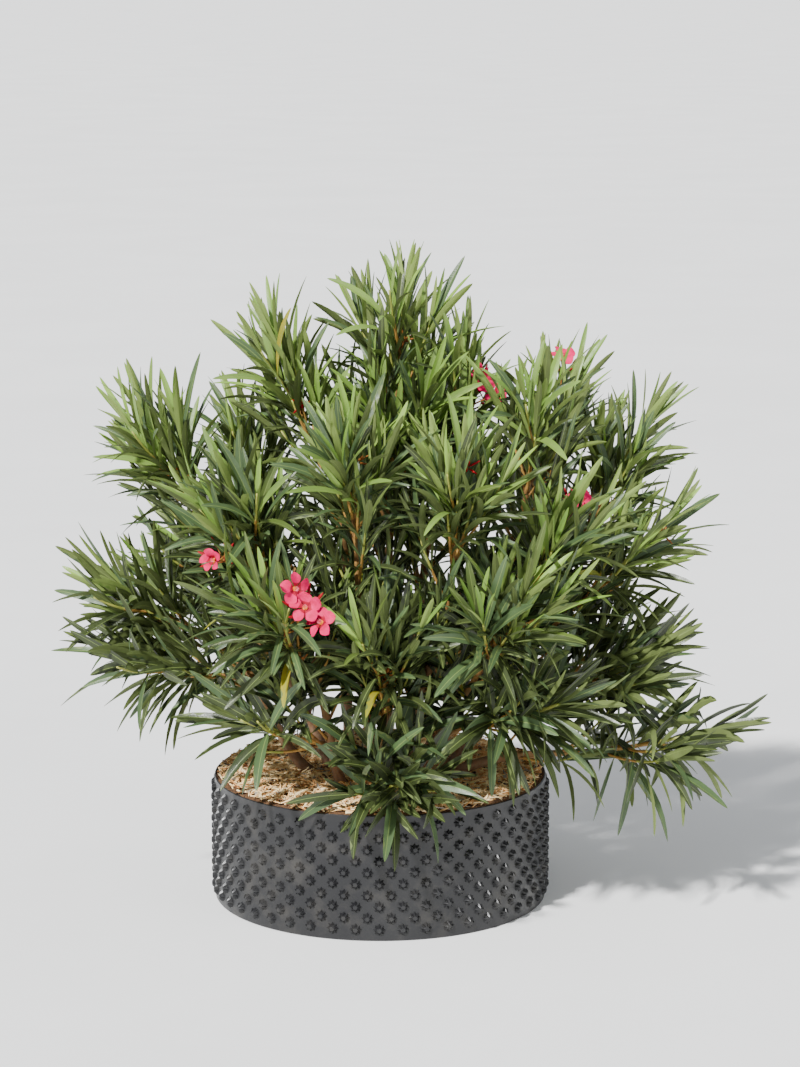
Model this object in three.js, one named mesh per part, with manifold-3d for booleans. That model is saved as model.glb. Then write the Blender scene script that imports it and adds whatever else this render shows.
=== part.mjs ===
// Potted oleander (Nerium oleander): a many-caned flowering shrub in a low root-training pot.
// Millimetres, +Z up. The origin is the centre of the pot's flat underside, and -Y is the front.
// The shrub is canes that rise from the mulch, side boughs that fork from them, and masses of
// foliage, each of which is twigs and leaves fused round the one stem that its limb carries.

import * as THREE from 'three';
import { mergeVertices } from 'three/addons/utils/BufferGeometryUtils.js';
import Module from 'manifold-3d';

const wasm = await Module();
wasm.setup();

// ---- Driving dimensions -------------------------------------------------------------------

const CLEAR = 0.3; // gap between pieces that touch
const LEAST_EDGE = 0.02; // shortest edge and lowest triangle that fusing may leave
const LEAST_HEIGHT = 0.001;
const LEAST_DETAIL = 0.05; // what stands out less than this is smoothed away
const NUDGE_STEP = 0.15; // shift tried on a piece that fuses badly
const NUDGE_TRIES = 8;

// Pot: a moulded sheet wrapped to a cylinder, with a staggered lattice of hollow cusps.
const POT_RADIUS = 277;
const POT_HEIGHT = 207;
const POT_WALL = 3;
const POT_BASE = 4;
const CUSP_COLUMNS = 46; // cusps round one row
const CUSP_HALF_ROWS = 11; // half pitches from foot to rim
const CUSP_HEIGHT = 8; // to the point of a pyramid that stands for the cusp's round knob
const CUSP_RADIUS = 13.5; // of the pyramid's foot, which is sunk into the wall
const CUSP_SINK = 1.6;

// Root ball and its mulch, filled up to the rim and heaped a little in the middle.
const FILL_GAP = 1.2;
const FILL_SIDES = 36;
const FILL_EDGE_LEVEL = 199;
const FILL_TOP_LEVEL = 210;
const FILL_TOP_RADIUS = 150;

// Canes and boughs.
const CANE_FOOT_RADIUS = 9;
const CANE_TIP_RADIUS = 4.4;
const BOUGH_FOOT_RADIUS = 5.6;
const BOUGH_TIP_RADIUS = 3.8;
const ROOT_FLARE = 0.35; // extra radius at the foot, as a share
const LIMB_SIDES = 5;
const CANE_STEPS = 5;
const BOUGH_STEPS = 4;
const FLARE_FALL = 20; // how fast the flare fades along a cane
const LIMB_RUN = 0.42; // how far a limb keeps its first and last direction, as a share of its chord
const BOUGH_TO_PARENT = 0.8; // a bough's greatest radius, as a share of its cane's
const BOUGH_RISE = 0.25; // how far a bough's start turns upwards from its chord

// Stems and twigs.
const STEM_RADIUS = 4.2;
const STEM_TIP_RADIUS = 1.8;
const STEM_STEPS = 3;
const TWIG_RADIUS = 1.8;
const TWIG_TIP_RADIUS = 1.4;
const TWIG_STEPS = 2;
const STEM_LENGTH = 200;
const TWIG_LENGTH = 125;
const TWIGS_PER_MASS = 2;
const TWIG_SPREAD = 42; // degrees between a twig and the stem that it leaves
const TWIG_CURL = 0.55; // how far a twig turns upwards
const STEM_SAG = 0.05; // as a share of its chord
const TWIG_TRIES = 14;
const TWIG_FROM = 0.2; // share of the stem where the lowest twig forks
const TWIG_RANGE = 0.5; // share of the stem that the twigs are spread over
const FORK_SCATTER = 0.08; // random part of a twig's place, as a share of the stem
const TURN_SCATTER = 40; // and of its turn round the stem, in degrees
const TWIG_SIZES = [0.8, 1.2]; // shortest and longest, as shares of TWIG_LENGTH
const GOLDEN_ANGLE = 137.5;

// Leaves, in whorls of three, larger than life because they are fewer.
const LEAF_LENGTH = 168;
const LEAF_WIDTH = 34;
const LEAF_WIDEST = 0.42; // share of the length from the root
const LEAF_FOLD = 4; // how far the edges stand above the keel
const LEAVES_PER_WHORL = 3;
const LEAF_LOW_PITCH = 68; // degrees from the twig, low on it
const LEAF_TIP_PITCH = 24; // and at its tip
const LEAF_LOW_DROOP = 34; // how far a low leaf's tip sinks
const LEAF_LOW_SHARE = 0.3; // where along a shoot its lowest whorl stands
const LEAF_SCATTER = 30; // random part of a leaf's turn round its twig, in degrees
const LEAF_SIZES = [0.9, 1.1]; // smallest and largest, as shares of the length and width
const STEM_LEAVES = 9; // at most
const TWIG_LEAVES = 6;
const WHORL_ORDER = [0.94, 0.62, 0.8, 0.46, 0.3]; // where along a shoot, best places first
const LEAF_TRIES = [1, 0.85, 0.7]; // sizes tried where a leaf finds too little room
const LEAF_SPACING = 18; // between the midribs of two leaves of a mass

// Blossom.
const BLOOM_RADIUS = 25;
const BLOOM_DEPTH = 9;
const BLOOM_SPREAD = 34; // distance between the blooms of one cluster
const STALK_RADIUS = 2;
const STALK_FORK = 0.5; // share of the stem where a flower stalk forks
const STALK_RISE = 8;
const BLOOM_FRONTING = 0.9; // how far a cluster turns to the crown's open side, -Y
const BLOOM_TURN = 200; // degrees round the cluster from one bloom to the next
const BLOOM_FIRST_TURN = 95;
const BLOOM_TILT = 12; // degrees between the first bloom and the way that the cluster faces
const BLOOM_MORE_TILT = 14; // and how much more each further one is tilted
const PETAL_NOTCH = 0.5; // depth of the notches between petals, as a share of the radius

// Spaces.
const SITE_SHARE = 0.6; // where along its stem a mass's space is centred
const SPACE_RADIUS = 182;
const CELL_GAP = 1.5; // between the spaces of two masses
const LIMB_CLEARANCE = 1.5;
const POT_CLEARANCE = 9;
const POT_CHECKS = 12; // places along a stretch where its distance from the pot is looked at
const SEED = 4100; // of the first mass's twigs; each further mass takes the next number
const LEAF_SEED_STEP = 500; // from the seed of a mass's twigs to the seed of its leaves

// Canes. Each rises from a foot on the mulch to the stem of its own mass. A mass is placed by
// its stem's tip: bearing round the pot's axis in degrees from +X, reach from the axis, height,
// and the stem's lift from level in degrees. A foot stands at the same bearing, or at its clock.
const CANES = [
  { name: 'top_centre', bearing: 50, reach: 62, height: 1000, lift: 84, foot: 18, lean: 88 },
  { name: 'top_left', bearing: 174, reach: 172, height: 930, lift: 70, foot: 48, lean: 84 },
  { name: 'top_right', bearing: 8, reach: 144, height: 900, lift: 78, foot: 52, lean: 86 },
  { name: 'right_top_outer', bearing: 359, reach: 430, height: 795, lift: 63, foot: 88, clock: 14, lean: 66 },
  { name: 'right_mid', bearing: 350, reach: 470, height: 640, lift: 44, foot: 108, lean: 50 },
  { name: 'right_hanging', bearing: 346, reach: 552, height: 312, lift: 14, foot: 118, clock: 334, lean: 30 },
  { name: 'right_front', bearing: 306, reach: 390, height: 580, lift: 52, foot: 112, lean: 62 },
  { name: 'centre_right', bearing: 298, reach: 284, height: 770, lift: 78, foot: 84, clock: 290, lean: 76 },
  { name: 'front_mid', bearing: 272, reach: 258, height: 515, lift: 76, foot: 132, lean: 66 },
  { name: 'centre_left', bearing: 259, reach: 214, height: 800, lift: 82, foot: 78, lean: 80 },
  { name: 'left_front', bearing: 238, reach: 352, height: 570, lift: 48, foot: 118, lean: 60 },
  { name: 'left_top', bearing: 181, reach: 378, height: 800, lift: 62, foot: 84, clock: 170, lean: 66 },
  { name: 'left_outer', bearing: 184, reach: 446, height: 545, lift: 34, foot: 120, clock: 190, lean: 46 },
  { name: 'back_left', bearing: 146, reach: 420, height: 560, lift: 44, foot: 104, lean: 56 },
  { name: 'back_right', bearing: 42, reach: 430, height: 600, lift: 50, foot: 100, lean: 58 },
];

// Side masses. Each leaves the cane named by "from", at a share of its length, on a bough of its
// own or, where it is direct, by its stem alone.
const SIDES = [
  {
    name: 'right_top_front', from: 'right_top_outer', at: 0.5,
    bearing: 339, reach: 284, height: 865, lift: 80,
  },
  {
    name: 'right_top_back', from: 'right_top_outer', at: 0.62,
    bearing: 17, reach: 338, height: 850, lift: 74,
  },
  {
    name: 'right_inner', from: 'right_mid', at: 0.45,
    bearing: 326, reach: 366, height: 690, lift: 62,
  },
  {
    name: 'right_low', from: 'right_mid', at: 0.36,
    bearing: 350, reach: 452, height: 430, lift: 22,
  },
  {
    name: 'right_front_low', from: 'right_front', at: 0.3,
    bearing: 316, reach: 392, height: 388, lift: 20,
  },
  {
    name: 'front_drape', from: 'front_mid', at: 0.16, direct: true,
    bearing: 276, reach: 300, height: 262, lift: 4,
  },
  {
    name: 'centre_upper', from: 'top_centre', at: 0.78, direct: true,
    bearing: 308, reach: 128, height: 862, lift: 84,
  },
  {
    name: 'left_mid', from: 'left_top', at: 0.46,
    bearing: 218, reach: 298, height: 722, lift: 64,
  },
  {
    name: 'left_low', from: 'left_outer', at: 0.5,
    bearing: 194, reach: 434, height: 436, lift: 16,
  },
  {
    name: 'left_bottom', from: 'left_front', at: 0.34, direct: true,
    bearing: 222, reach: 300, height: 345, lift: 8,
  },
  {
    name: 'upper_left_back', from: 'top_left', at: 0.52,
    bearing: 143, reach: 296, height: 765, lift: 70,
  },
  {
    name: 'upper_centre', from: 'top_centre', at: 0.68, direct: true,
    bearing: 118, reach: 130, height: 835, lift: 78,
  },
  {
    name: 'back_top', from: 'top_right', at: 0.56,
    bearing: 74, reach: 260, height: 830, lift: 70,
  },
  {
    name: 'back_centre', from: 'back_left', at: 0.46,
    bearing: 99, reach: 374, height: 640, lift: 58,
  },
  {
    name: 'back_low_left', from: 'back_left', at: 0.26, direct: true,
    bearing: 120, reach: 422, height: 385, lift: 18,
  },
  {
    name: 'back_low_right', from: 'back_right', at: 0.3,
    bearing: 64, reach: 428, height: 400, lift: 18,
  },
];

// Clusters of open blooms, by the mass that bears them and where the cluster stands.
const CLUSTERS = [
  { mass: 'left_front', blooms: 3, bearing: 251, reach: 350, height: 556 },
  { mass: 'left_mid', blooms: 1, bearing: 222, reach: 350, height: 612 },
  { mass: 'top_right', blooms: 2, bearing: 358, reach: 184, height: 847 },
  { mass: 'right_top_back', blooms: 1, bearing: 15, reach: 312, height: 893 },
  { mass: 'right_inner', blooms: 1, bearing: 335, reach: 352, height: 694 },
];

// ---- Directions and random numbers --------------------------------------------------------

const UP = new THREE.Vector3(0, 0, 1);
const SIDEWAYS = new THREE.Vector3(1, 0, 0);
const radians = THREE.MathUtils.degToRad;

// A point from its bearing round the pot's axis, its reach from the axis and its height.
function around(bearing, reach, height) {
  const turn = radians(bearing);
  return new THREE.Vector3(reach * Math.cos(turn), reach * Math.sin(turn), height);
}

// A unit direction from its bearing and its lift from level.
function heading(bearing, lift) {
  return around(bearing, Math.cos(radians(lift)), Math.sin(radians(lift)));
}

// The direction that leaves an axis at the given pitch, turned round it by the given angle.
function leaving(axis, pitch, turn) {
  const across = axis.clone().cross(Math.abs(axis.z) < 0.9 ? UP : SIDEWAYS).normalize();
  const other = axis.clone().cross(across);
  return axis.clone().multiplyScalar(Math.cos(radians(pitch)))
    .addScaledVector(across, Math.sin(radians(pitch)) * Math.cos(radians(turn)))
    .addScaledVector(other, Math.sin(radians(pitch)) * Math.sin(radians(turn)));
}

// A seeded stream of random numbers from 0 to 1 (mulberry32), so the plant always grows alike.
function randomStream(seed) {
  let state = seed >>> 0;
  return () => {
    state = (state + 0x6d2b79f5) >>> 0;
    let mixed = Math.imul(state ^ (state >>> 15), 1 | state);
    mixed = (mixed + Math.imul(mixed ^ (mixed >>> 7), 61 | mixed)) ^ mixed;
    return ((mixed ^ (mixed >>> 14)) >>> 0) / 4294967296;
  };
}

// ---- Solids -------------------------------------------------------------------------------

// A manifold solid from a closed three.js geometry.
function toSolid(geometry) {
  geometry.deleteAttribute('normal');
  geometry.deleteAttribute('uv');
  const merged = mergeVertices(geometry, 1e-3);
  return new wasm.Manifold(new wasm.Mesh({
    numProp: 3,
    vertProperties: Float32Array.from(merged.attributes.position.array),
    triVerts: Uint32Array.from(merged.index.array),
  }));
}

// How many triangles of a solid are slivers: too low to keep their shape when rounded.
function sliverCount(solid) {
  const { vertProperties, triVerts } = solid.getMesh();
  const corner = (i) => new THREE.Vector3().fromArray(vertProperties, 3 * triVerts[i]);
  let count = 0;
  for (let i = 0; i < triVerts.length; i += 3) {
    const triangle = new THREE.Triangle(corner(i), corner(i + 1), corner(i + 2));
    const sides = [
      triangle.a.distanceTo(triangle.b),
      triangle.b.distanceTo(triangle.c),
      triangle.c.distanceTo(triangle.a),
    ];
    const height = (2 * triangle.getArea()) / Math.max(...sides);
    if (height < LEAST_HEIGHT || Math.min(...sides) < LEAST_EDGE) count += 1;
  }
  return count;
}

// Pieces fused to a solid one by one. One whose joint would leave a sliver is nudged a little,
// each time further and another way, and skipped if that doesn't help.
function fuse(solid, pieces) {
  let whole = solid;
  for (const piece of pieces) {
    const slivers = sliverCount(whole);
    for (let tries = 0; tries < NUDGE_TRIES; tries += 1) {
      const nudge = heading(GOLDEN_ANGLE * tries, 70).multiplyScalar(NUDGE_STEP * tries);
      const joined = whole.add(toSolid(piece.clone().translate(nudge.x, nudge.y, nudge.z)));
      if (sliverCount(joined) > slivers) continue;
      whole = joined;
      break;
    }
  }
  return whole;
}

// The three.js geometry of a solid's main body. A scrap or a sealed hollow is left out.
function toGeometry(solid) {
  const bodies = solid.decompose().sort((a, b) => b.volume() - a.volume());
  const mesh = bodies[0].simplify(LEAST_DETAIL).getMesh();
  const geometry = new THREE.BufferGeometry();
  geometry.setAttribute('position', new THREE.BufferAttribute(mesh.vertProperties, 3));
  geometry.setIndex(new THREE.BufferAttribute(mesh.triVerts, 1));
  geometry.computeVertexNormals();
  return geometry;
}

// A limb along a curve: a closed cylinder bent on to the curve, as thick as radiusAt says.
// With a foot level, its first ring slides along the limb to a level cut at that height.
function bentTube(curve, radiusAt, sides, steps, footLevel) {
  const geometry = new THREE.CylinderGeometry(1, 1, 1, sides, steps);
  const frames = curve.computeFrenetFrames(steps, false);
  const position = geometry.attributes.position;
  const point = new THREE.Vector3();
  for (let i = 0; i < position.count; i += 1) {
    const step = Math.round((position.getY(i) + 0.5) * steps);
    const radius = radiusAt(step / steps);
    curve.getPointAt(step / steps, point);
    point.addScaledVector(frames.binormals[step], position.getX(i) * radius);
    point.addScaledVector(frames.normals[step], position.getZ(i) * radius);
    if (step === 0 && footLevel !== undefined) {
      const tangent = frames.tangents[0];
      point.addScaledVector(tangent, (footLevel - point.z) / tangent.z);
    }
    position.setXYZ(i, point.x, point.y, point.z);
  }
  return geometry;
}

// ---- Pot and root ball --------------------------------------------------------------------

// The pot: a profile turned round the axis, with a cusp on its wall at every second crossing of
// the half pitches. The wall's flat sides meet between the cusps.
function potGeometry() {
  const inner = POT_RADIUS - POT_WALL;
  const profile = [
    new THREE.Vector2(0, 0),
    new THREE.Vector2(POT_RADIUS, 0),
    new THREE.Vector2(POT_RADIUS, POT_HEIGHT),
    new THREE.Vector2(inner, POT_HEIGHT),
    new THREE.Vector2(inner, POT_BASE),
    new THREE.Vector2(0, POT_BASE),
  ];
  const column = Math.PI / CUSP_COLUMNS;
  const wall = new THREE.LatheGeometry(profile, CUSP_COLUMNS, column / 2).rotateX(Math.PI / 2);
  const pieces = [toSolid(wall)];
  for (let row = 1; row < CUSP_HALF_ROWS; row += 1) {
    for (let place = (row + 1) % 2; place < 2 * CUSP_COLUMNS; place += 2) {
      const cusp = new THREE.ConeGeometry(CUSP_RADIUS, CUSP_HEIGHT + CUSP_SINK, 4);
      const level = (POT_HEIGHT * row) / CUSP_HALF_ROWS;
      cusp.rotateY(Math.PI / 4).translate(0, POT_RADIUS + (CUSP_HEIGHT - CUSP_SINK) / 2, level);
      pieces.push(toSolid(cusp.rotateZ(column * place)));
    }
  }
  return toGeometry(wasm.Manifold.union(pieces));
}

// The root ball, from the pot's base up to the mulch, which is level where the canes stand.
function rootBallGeometry() {
  const radius = POT_RADIUS - POT_WALL - FILL_GAP;
  const profile = [
    new THREE.Vector2(0, POT_BASE + CLEAR),
    new THREE.Vector2(radius, POT_BASE + CLEAR),
    new THREE.Vector2(radius, FILL_EDGE_LEVEL),
    new THREE.Vector2(FILL_TOP_RADIUS, FILL_TOP_LEVEL),
    new THREE.Vector2(0, FILL_TOP_LEVEL),
  ];
  return new THREE.LatheGeometry(profile, FILL_SIDES).rotateX(Math.PI / 2);
}

// ---- Limbs and stems ----------------------------------------------------------------------

// A stem's curve, from its base up to the tip that places its mass, with a slight sag.
function stemCurve(mass, base) {
  const tip = around(mass.bearing, mass.reach, mass.height);
  const sag = STEM_SAG * base.distanceTo(tip);
  const middle = base.clone().lerp(tip, 0.5).addScaledVector(UP, -sag);
  return new THREE.QuadraticBezierCurve3(base, middle, tip);
}

// Where a stem that a limb's tip carries begins.
function stemBase(mass) {
  const back = heading(mass.bearing, mass.lift).multiplyScalar(-STEM_LENGTH);
  return around(mass.bearing, mass.reach, mass.height).add(back);
}

// A limb's curve from its foot, which it leaves in one direction, into the line of its stem.
function limbCurve(foot, start, stem) {
  const end = stem.v0;
  const run = foot.distanceTo(end) * LIMB_RUN;
  const into = stem.getTangent(0);
  return new THREE.CubicBezierCurve3(
    foot,
    foot.clone().addScaledVector(start, run),
    end.clone().addScaledVector(into, -run),
    end.clone().addScaledVector(into, -CLEAR),
  );
}

const masses = new Map();
const limbs = new Map();

for (const cane of CANES) {
  const stem = stemCurve(cane, stemBase(cane));
  const foot = around(cane.clock ?? cane.bearing, cane.foot, FILL_TOP_LEVEL + CLEAR);
  const curve = limbCurve(foot, heading(cane.bearing, cane.lean), stem);
  const radiusAt = (t) => THREE.MathUtils.lerp(CANE_FOOT_RADIUS, CANE_TIP_RADIUS, t)
    * (1 + ROOT_FLARE * Math.exp(-FLARE_FALL * t));
  limbs.set(cane.name, { curve, radiusAt, steps: CANE_STEPS, level: foot.z });
  masses.set(cane.name, { stem });
}

for (const side of SIDES) {
  const parent = limbs.get(side.from);
  const foot = parent.curve.getPointAt(side.at);
  if (!side.direct) {
    const stem = stemCurve(side, stemBase(side));
    const start = stem.v0.clone().sub(foot).normalize().lerp(UP, BOUGH_RISE).normalize();
    const curve = limbCurve(foot, start, stem);
    const thick = Math.min(BOUGH_FOOT_RADIUS, BOUGH_TO_PARENT * parent.radiusAt(side.at));
    const radiusAt = (t) => THREE.MathUtils.lerp(thick, BOUGH_TIP_RADIUS, t);
    limbs.set(side.name, { curve, radiusAt, steps: BOUGH_STEPS, parent });
    masses.set(side.name, { stem });
  } else {
    masses.set(side.name, { stem: stemCurve(side, foot), parent });
  }
}

const stemRadiusAt = (t) => THREE.MathUtils.lerp(STEM_RADIUS, STEM_TIP_RADIUS, t);
const twigRadiusAt = (t) => THREE.MathUtils.lerp(TWIG_RADIUS, TWIG_TIP_RADIUS, t);

// ---- Spaces: where twigs and leaves may grow ----------------------------------------------

// Every limb and stem as short straight rods, which the twigs and leaves of others keep off.
function rodsOf(curve, radiusAt, steps) {
  const rods = [];
  const points = curve.getSpacedPoints(steps);
  for (let i = 0; i < steps; i += 1) {
    rods.push({ from: points[i], to: points[i + 1], radius: radiusAt(i / steps) });
  }
  return rods;
}

const obstacles = [];
for (const [name, limb] of limbs) {
  obstacles.push({ owner: `limb ${name}`, rods: rodsOf(limb.curve, limb.radiusAt, limb.steps) });
}
for (const [name, mass] of masses) {
  obstacles.push({ owner: name, rods: rodsOf(mass.stem, stemRadiusAt, STEM_STEPS) });
  mass.site = mass.stem.getPointAt(SITE_SHARE);
}

// The shortest distance between two straight stretches.
function gapBetween(a, b, c, d) {
  const u = b.clone().sub(a);
  const v = d.clone().sub(c);
  const w = a.clone().sub(c);
  const uu = u.dot(u);
  const uv = u.dot(v);
  const vv = v.dot(v);
  const clamp = THREE.MathUtils.clamp;
  const cross = uu * vv - uv * uv;
  let s = cross > 1e-9 ? clamp((uv * v.dot(w) - vv * u.dot(w)) / cross, 0, 1) : 0;
  const t = clamp((uv * s + v.dot(w)) / vv, 0, 1);
  s = clamp((uv * t - u.dot(w)) / uu, 0, 1);
  return w.addScaledVector(u, s).addScaledVector(v, -t).length();
}

// Whether a point is in the space of a mass: within reach of its site, and nearer it than any
// other mass's site.
function inSpace(point, mass) {
  if (point.distanceTo(mass.site) > SPACE_RADIUS) return false;
  for (const other of masses.values()) {
    if (other === mass) continue;
    const apart = other.site.clone().sub(mass.site);
    const middle = other.site.clone().add(mass.site).multiplyScalar(0.5);
    if (point.clone().sub(middle).dot(apart.normalize()) > -CELL_GAP / 2) return false;
  }
  return true;
}

// Whether a straight stretch keeps clear of the pot and the mulch.
function offPot(from, to, halfWidth) {
  const point = new THREE.Vector3();
  for (let i = 0; i <= POT_CHECKS; i += 1) {
    point.lerpVectors(from, to, i / POT_CHECKS);
    const inside = Math.hypot(point.x, point.y) < POT_RADIUS + CUSP_HEIGHT + POT_CLEARANCE;
    if (inside && point.z < FILL_TOP_LEVEL + POT_CLEARANCE / 2 + halfWidth / 2) return false;
  }
  return true;
}

// Whether a straight stretch of twig or leaf is in its mass's space and clear of all limbs.
function fits(from, to, halfWidth, name) {
  const mass = masses.get(name);
  if (!inSpace(to, mass) || !offPot(from, to, halfWidth)) return false;
  for (const { owner, rods } of obstacles) {
    if (owner === name) continue;
    for (const rod of rods) {
      const least = rod.radius + halfWidth + LIMB_CLEARANCE;
      if (gapBetween(from, to, rod.from, rod.to) < least) return false;
    }
  }
  return true;
}

// ---- Foliage ------------------------------------------------------------------------------

// The twigs of a mass: they fork from its stem at the golden angle and curl upwards.
function growTwigs(name, random) {
  const { stem } = masses.get(name);
  const twigs = [];
  for (let tries = 0; tries < TWIG_TRIES && twigs.length < TWIGS_PER_MASS; tries += 1) {
    const step = (tries % TWIGS_PER_MASS) / TWIGS_PER_MASS;
    const share = TWIG_FROM + TWIG_RANGE * step + FORK_SCATTER * random();
    const turn = GOLDEN_ANGLE * tries + TURN_SCATTER * random();
    const length = TWIG_LENGTH * THREE.MathUtils.lerp(...TWIG_SIZES, random());
    const base = onAxis(stem, STEM_STEPS, share);
    const start = leaving(stem.getTangentAt(share), TWIG_SPREAD, turn);
    const elbow = base.clone().addScaledVector(start, length / 2);
    const onward = start.clone().addScaledVector(UP, TWIG_CURL).normalize();
    const tip = elbow.clone().addScaledVector(onward, length / 2);
    if (!inSpace(base, masses.get(name)) || !inSpace(elbow, masses.get(name))) continue;
    if (!fits(base, elbow, TWIG_RADIUS, name) || !fits(elbow, tip, TWIG_RADIUS, name)) continue;
    twigs.push(new THREE.QuadraticBezierCurve3(base, elbow, tip));
  }
  return twigs;
}

// A leaf of six faces: a double pyramid drawn out along the leaf, its two edges folded up from
// the keel below them. It faces the tip of its twig, and a low leaf's tip droops.
function makeLeaf(root, axis, along, size, lowness) {
  const length = LEAF_LENGTH * size;
  const width = LEAF_WIDTH * size;
  const facing = axis.clone().addScaledVector(along, -axis.dot(along)).normalize();
  const across = along.clone().cross(facing);
  const widest = root.clone().addScaledVector(along, LEAF_WIDEST * length);
  const tip = root.clone().addScaledVector(along, length)
    .addScaledVector(UP, -LEAF_LOW_DROOP * lowness);
  const corners = [root, tip];
  const geometry = new THREE.SphereGeometry(1, 3, 2, Math.PI);
  const position = geometry.attributes.position;
  for (let i = 0; i < position.count; i += 1) {
    const point = widest.clone();
    const edge = Math.round(position.getZ(i));
    if (position.getY(i) < -0.5) {
      point.copy(root);
    } else if (position.getY(i) > 0.5) {
      point.copy(tip);
    } else {
      point.addScaledVector(across, (edge * width) / 2);
      point.addScaledVector(facing, (Math.abs(edge) - 0.5) * LEAF_FOLD);
      corners.push(point);
    }
    position.setXYZ(i, point.x, point.y, point.z);
  }
  return { geometry, root, width, corners, ribs: [[root, widest], [widest, tip]] };
}

// Whether a leaf's midrib keeps its distance from those of the leaves grown before it.
function apart(leaf, leaves) {
  return leaves.every((other) => {
    if (other.root.distanceTo(leaf.root) < 1) return true;
    return leaf.ribs.every((a) => other.ribs.every((b) => (
      gapBetween(a[0], a[1], b[0], b[1]) > LEAF_SPACING
    )));
  });
}

// A point on the axis of a bent tube, which runs straight from ring to ring.
function onAxis(curve, steps, share) {
  const step = Math.min(Math.floor(share * steps), steps - 1);
  const low = curve.getPointAt(step / steps);
  return low.lerp(curve.getPointAt((step + 1) / steps), share * steps - step);
}

// The leaves of one shoot: whorls of three, upright at the tip, spread and drooping lower down.
// A leaf that leaves its space, comes near a limb or crosses another is tried again smaller.
function growLeaves(shoot, steps, quota, name, random, leaves) {
  const mass = masses.get(name);
  const most = leaves.length + quota;
  WHORL_ORDER.forEach((share, order) => {
    const root = onAxis(shoot, steps, share);
    const axis = shoot.getTangentAt(share);
    const lowness = 1 - share;
    for (let k = 0; k < LEAVES_PER_WHORL; k += 1) {
      const turn = (360 / LEAVES_PER_WHORL) * (k + order / 2) + LEAF_SCATTER * random();
      const spread = lowness / (1 - LEAF_LOW_SHARE);
      const pitch = THREE.MathUtils.lerp(LEAF_TIP_PITCH, LEAF_LOW_PITCH, spread);
      const size = THREE.MathUtils.lerp(...LEAF_SIZES, random());
      for (const cut of LEAF_TRIES) {
        if (leaves.length >= most) return;
        const leaf = makeLeaf(root, axis, leaving(axis, pitch * cut, turn), size * cut, lowness);
        const inside = leaf.corners.every((corner) => inSpace(corner, mass));
        const clear = leaf.ribs.every((rib) => fits(rib[0], rib[1], leaf.width / 2, name));
        if (!inside || !clear || !apart(leaf, leaves)) continue;
        leaves.push(leaf);
        break;
      }
    }
  });
}

// One open bloom: a shallow double cone of twenty faces whose rim runs out to five petals and
// back to the notches between them.
function bloomGeometry(place, facing) {
  const bloom = new THREE.SphereGeometry(1, 10, 2);
  const position = bloom.attributes.position;
  for (let i = 0; i < position.count; i += 1) {
    const tenth = Math.round((Math.atan2(position.getZ(i), position.getX(i)) * 5) / Math.PI);
    const isNotch = Math.abs(position.getY(i)) < 0.5 && tenth % 2 !== 0;
    const radius = BLOOM_RADIUS * (isNotch ? PETAL_NOTCH : 1);
    const level = (position.getY(i) * BLOOM_DEPTH) / 2;
    position.setXYZ(i, position.getX(i) * radius, level, position.getZ(i) * radius);
  }
  const turn = new THREE.Quaternion().setFromUnitVectors(new THREE.Vector3(0, 1, 0), facing);
  return bloom.applyQuaternion(turn).translate(place.x, place.y, place.z);
}

// A cluster of blooms, each on a stalk from the stem. The cluster faces away from the stem and
// towards the crown's open side.
function growBlooms(cluster) {
  const { stem } = masses.get(cluster.mass);
  const fork = stem.getPointAt(STALK_FORK);
  const centre = around(cluster.bearing, cluster.reach, cluster.height);
  const outward = centre.clone().sub(fork).normalize();
  outward.y -= BLOOM_FRONTING;
  outward.normalize();
  const pieces = [];
  for (let k = 0; k < cluster.blooms; k += 1) {
    const offset = k === 0 ? 0 : BLOOM_SPREAD;
    const aside = leaving(outward, 90, BLOOM_TURN * k + BLOOM_FIRST_TURN);
    const place = centre.clone().addScaledVector(aside, offset);
    const facing = leaving(outward, BLOOM_TILT + BLOOM_MORE_TILT * k, BLOOM_TURN * k);
    const middle = fork.clone().lerp(place, 0.5).addScaledVector(UP, STALK_RISE);
    const stalk = new THREE.QuadraticBezierCurve3(fork, middle, place);
    pieces.push(bentTube(stalk, () => STALK_RADIUS, 3, 3));
    pieces.push(bloomGeometry(place, facing));
  }
  return pieces;
}

// One mass: its stem, twigs, leaves and blooms fused into one body.
function foliageGeometry(name, seed) {
  const mass = masses.get(name);
  const twigs = growTwigs(name, randomStream(seed));
  const random = randomStream(seed + LEAF_SEED_STEP);
  const pieces = [];
  for (const twig of twigs) pieces.push(bentTube(twig, twigRadiusAt, 3, TWIG_STEPS));
  const leaves = [];
  growLeaves(mass.stem, STEM_STEPS, STEM_LEAVES, name, random, leaves);
  for (const twig of twigs) growLeaves(twig, TWIG_STEPS, TWIG_LEAVES, name, random, leaves);
  pieces.push(...leaves.map((leaf) => leaf.geometry));
  for (const cluster of CLUSTERS) {
    if (cluster.mass === name) pieces.push(...growBlooms(cluster));
  }
  let solid = toSolid(bentTube(mass.stem, stemRadiusAt, 3, STEM_STEPS));
  if (mass.parent) solid = solid.subtract(grown(mass.parent));
  return toGeometry(fuse(solid, pieces));
}

// A limb's solid, and the same a clearance thicker for trimming what leaves it.
function limbSolid(limb, extra) {
  const radiusAt = (t) => limb.radiusAt(t) + extra;
  return toSolid(bentTube(limb.curve, radiusAt, LIMB_SIDES, limb.steps, limb.level));
}

function grown(limb) {
  return limbSolid(limb, CLEAR / Math.cos(Math.PI / LIMB_SIDES));
}

// ---- The scene graph ----------------------------------------------------------------------

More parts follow.
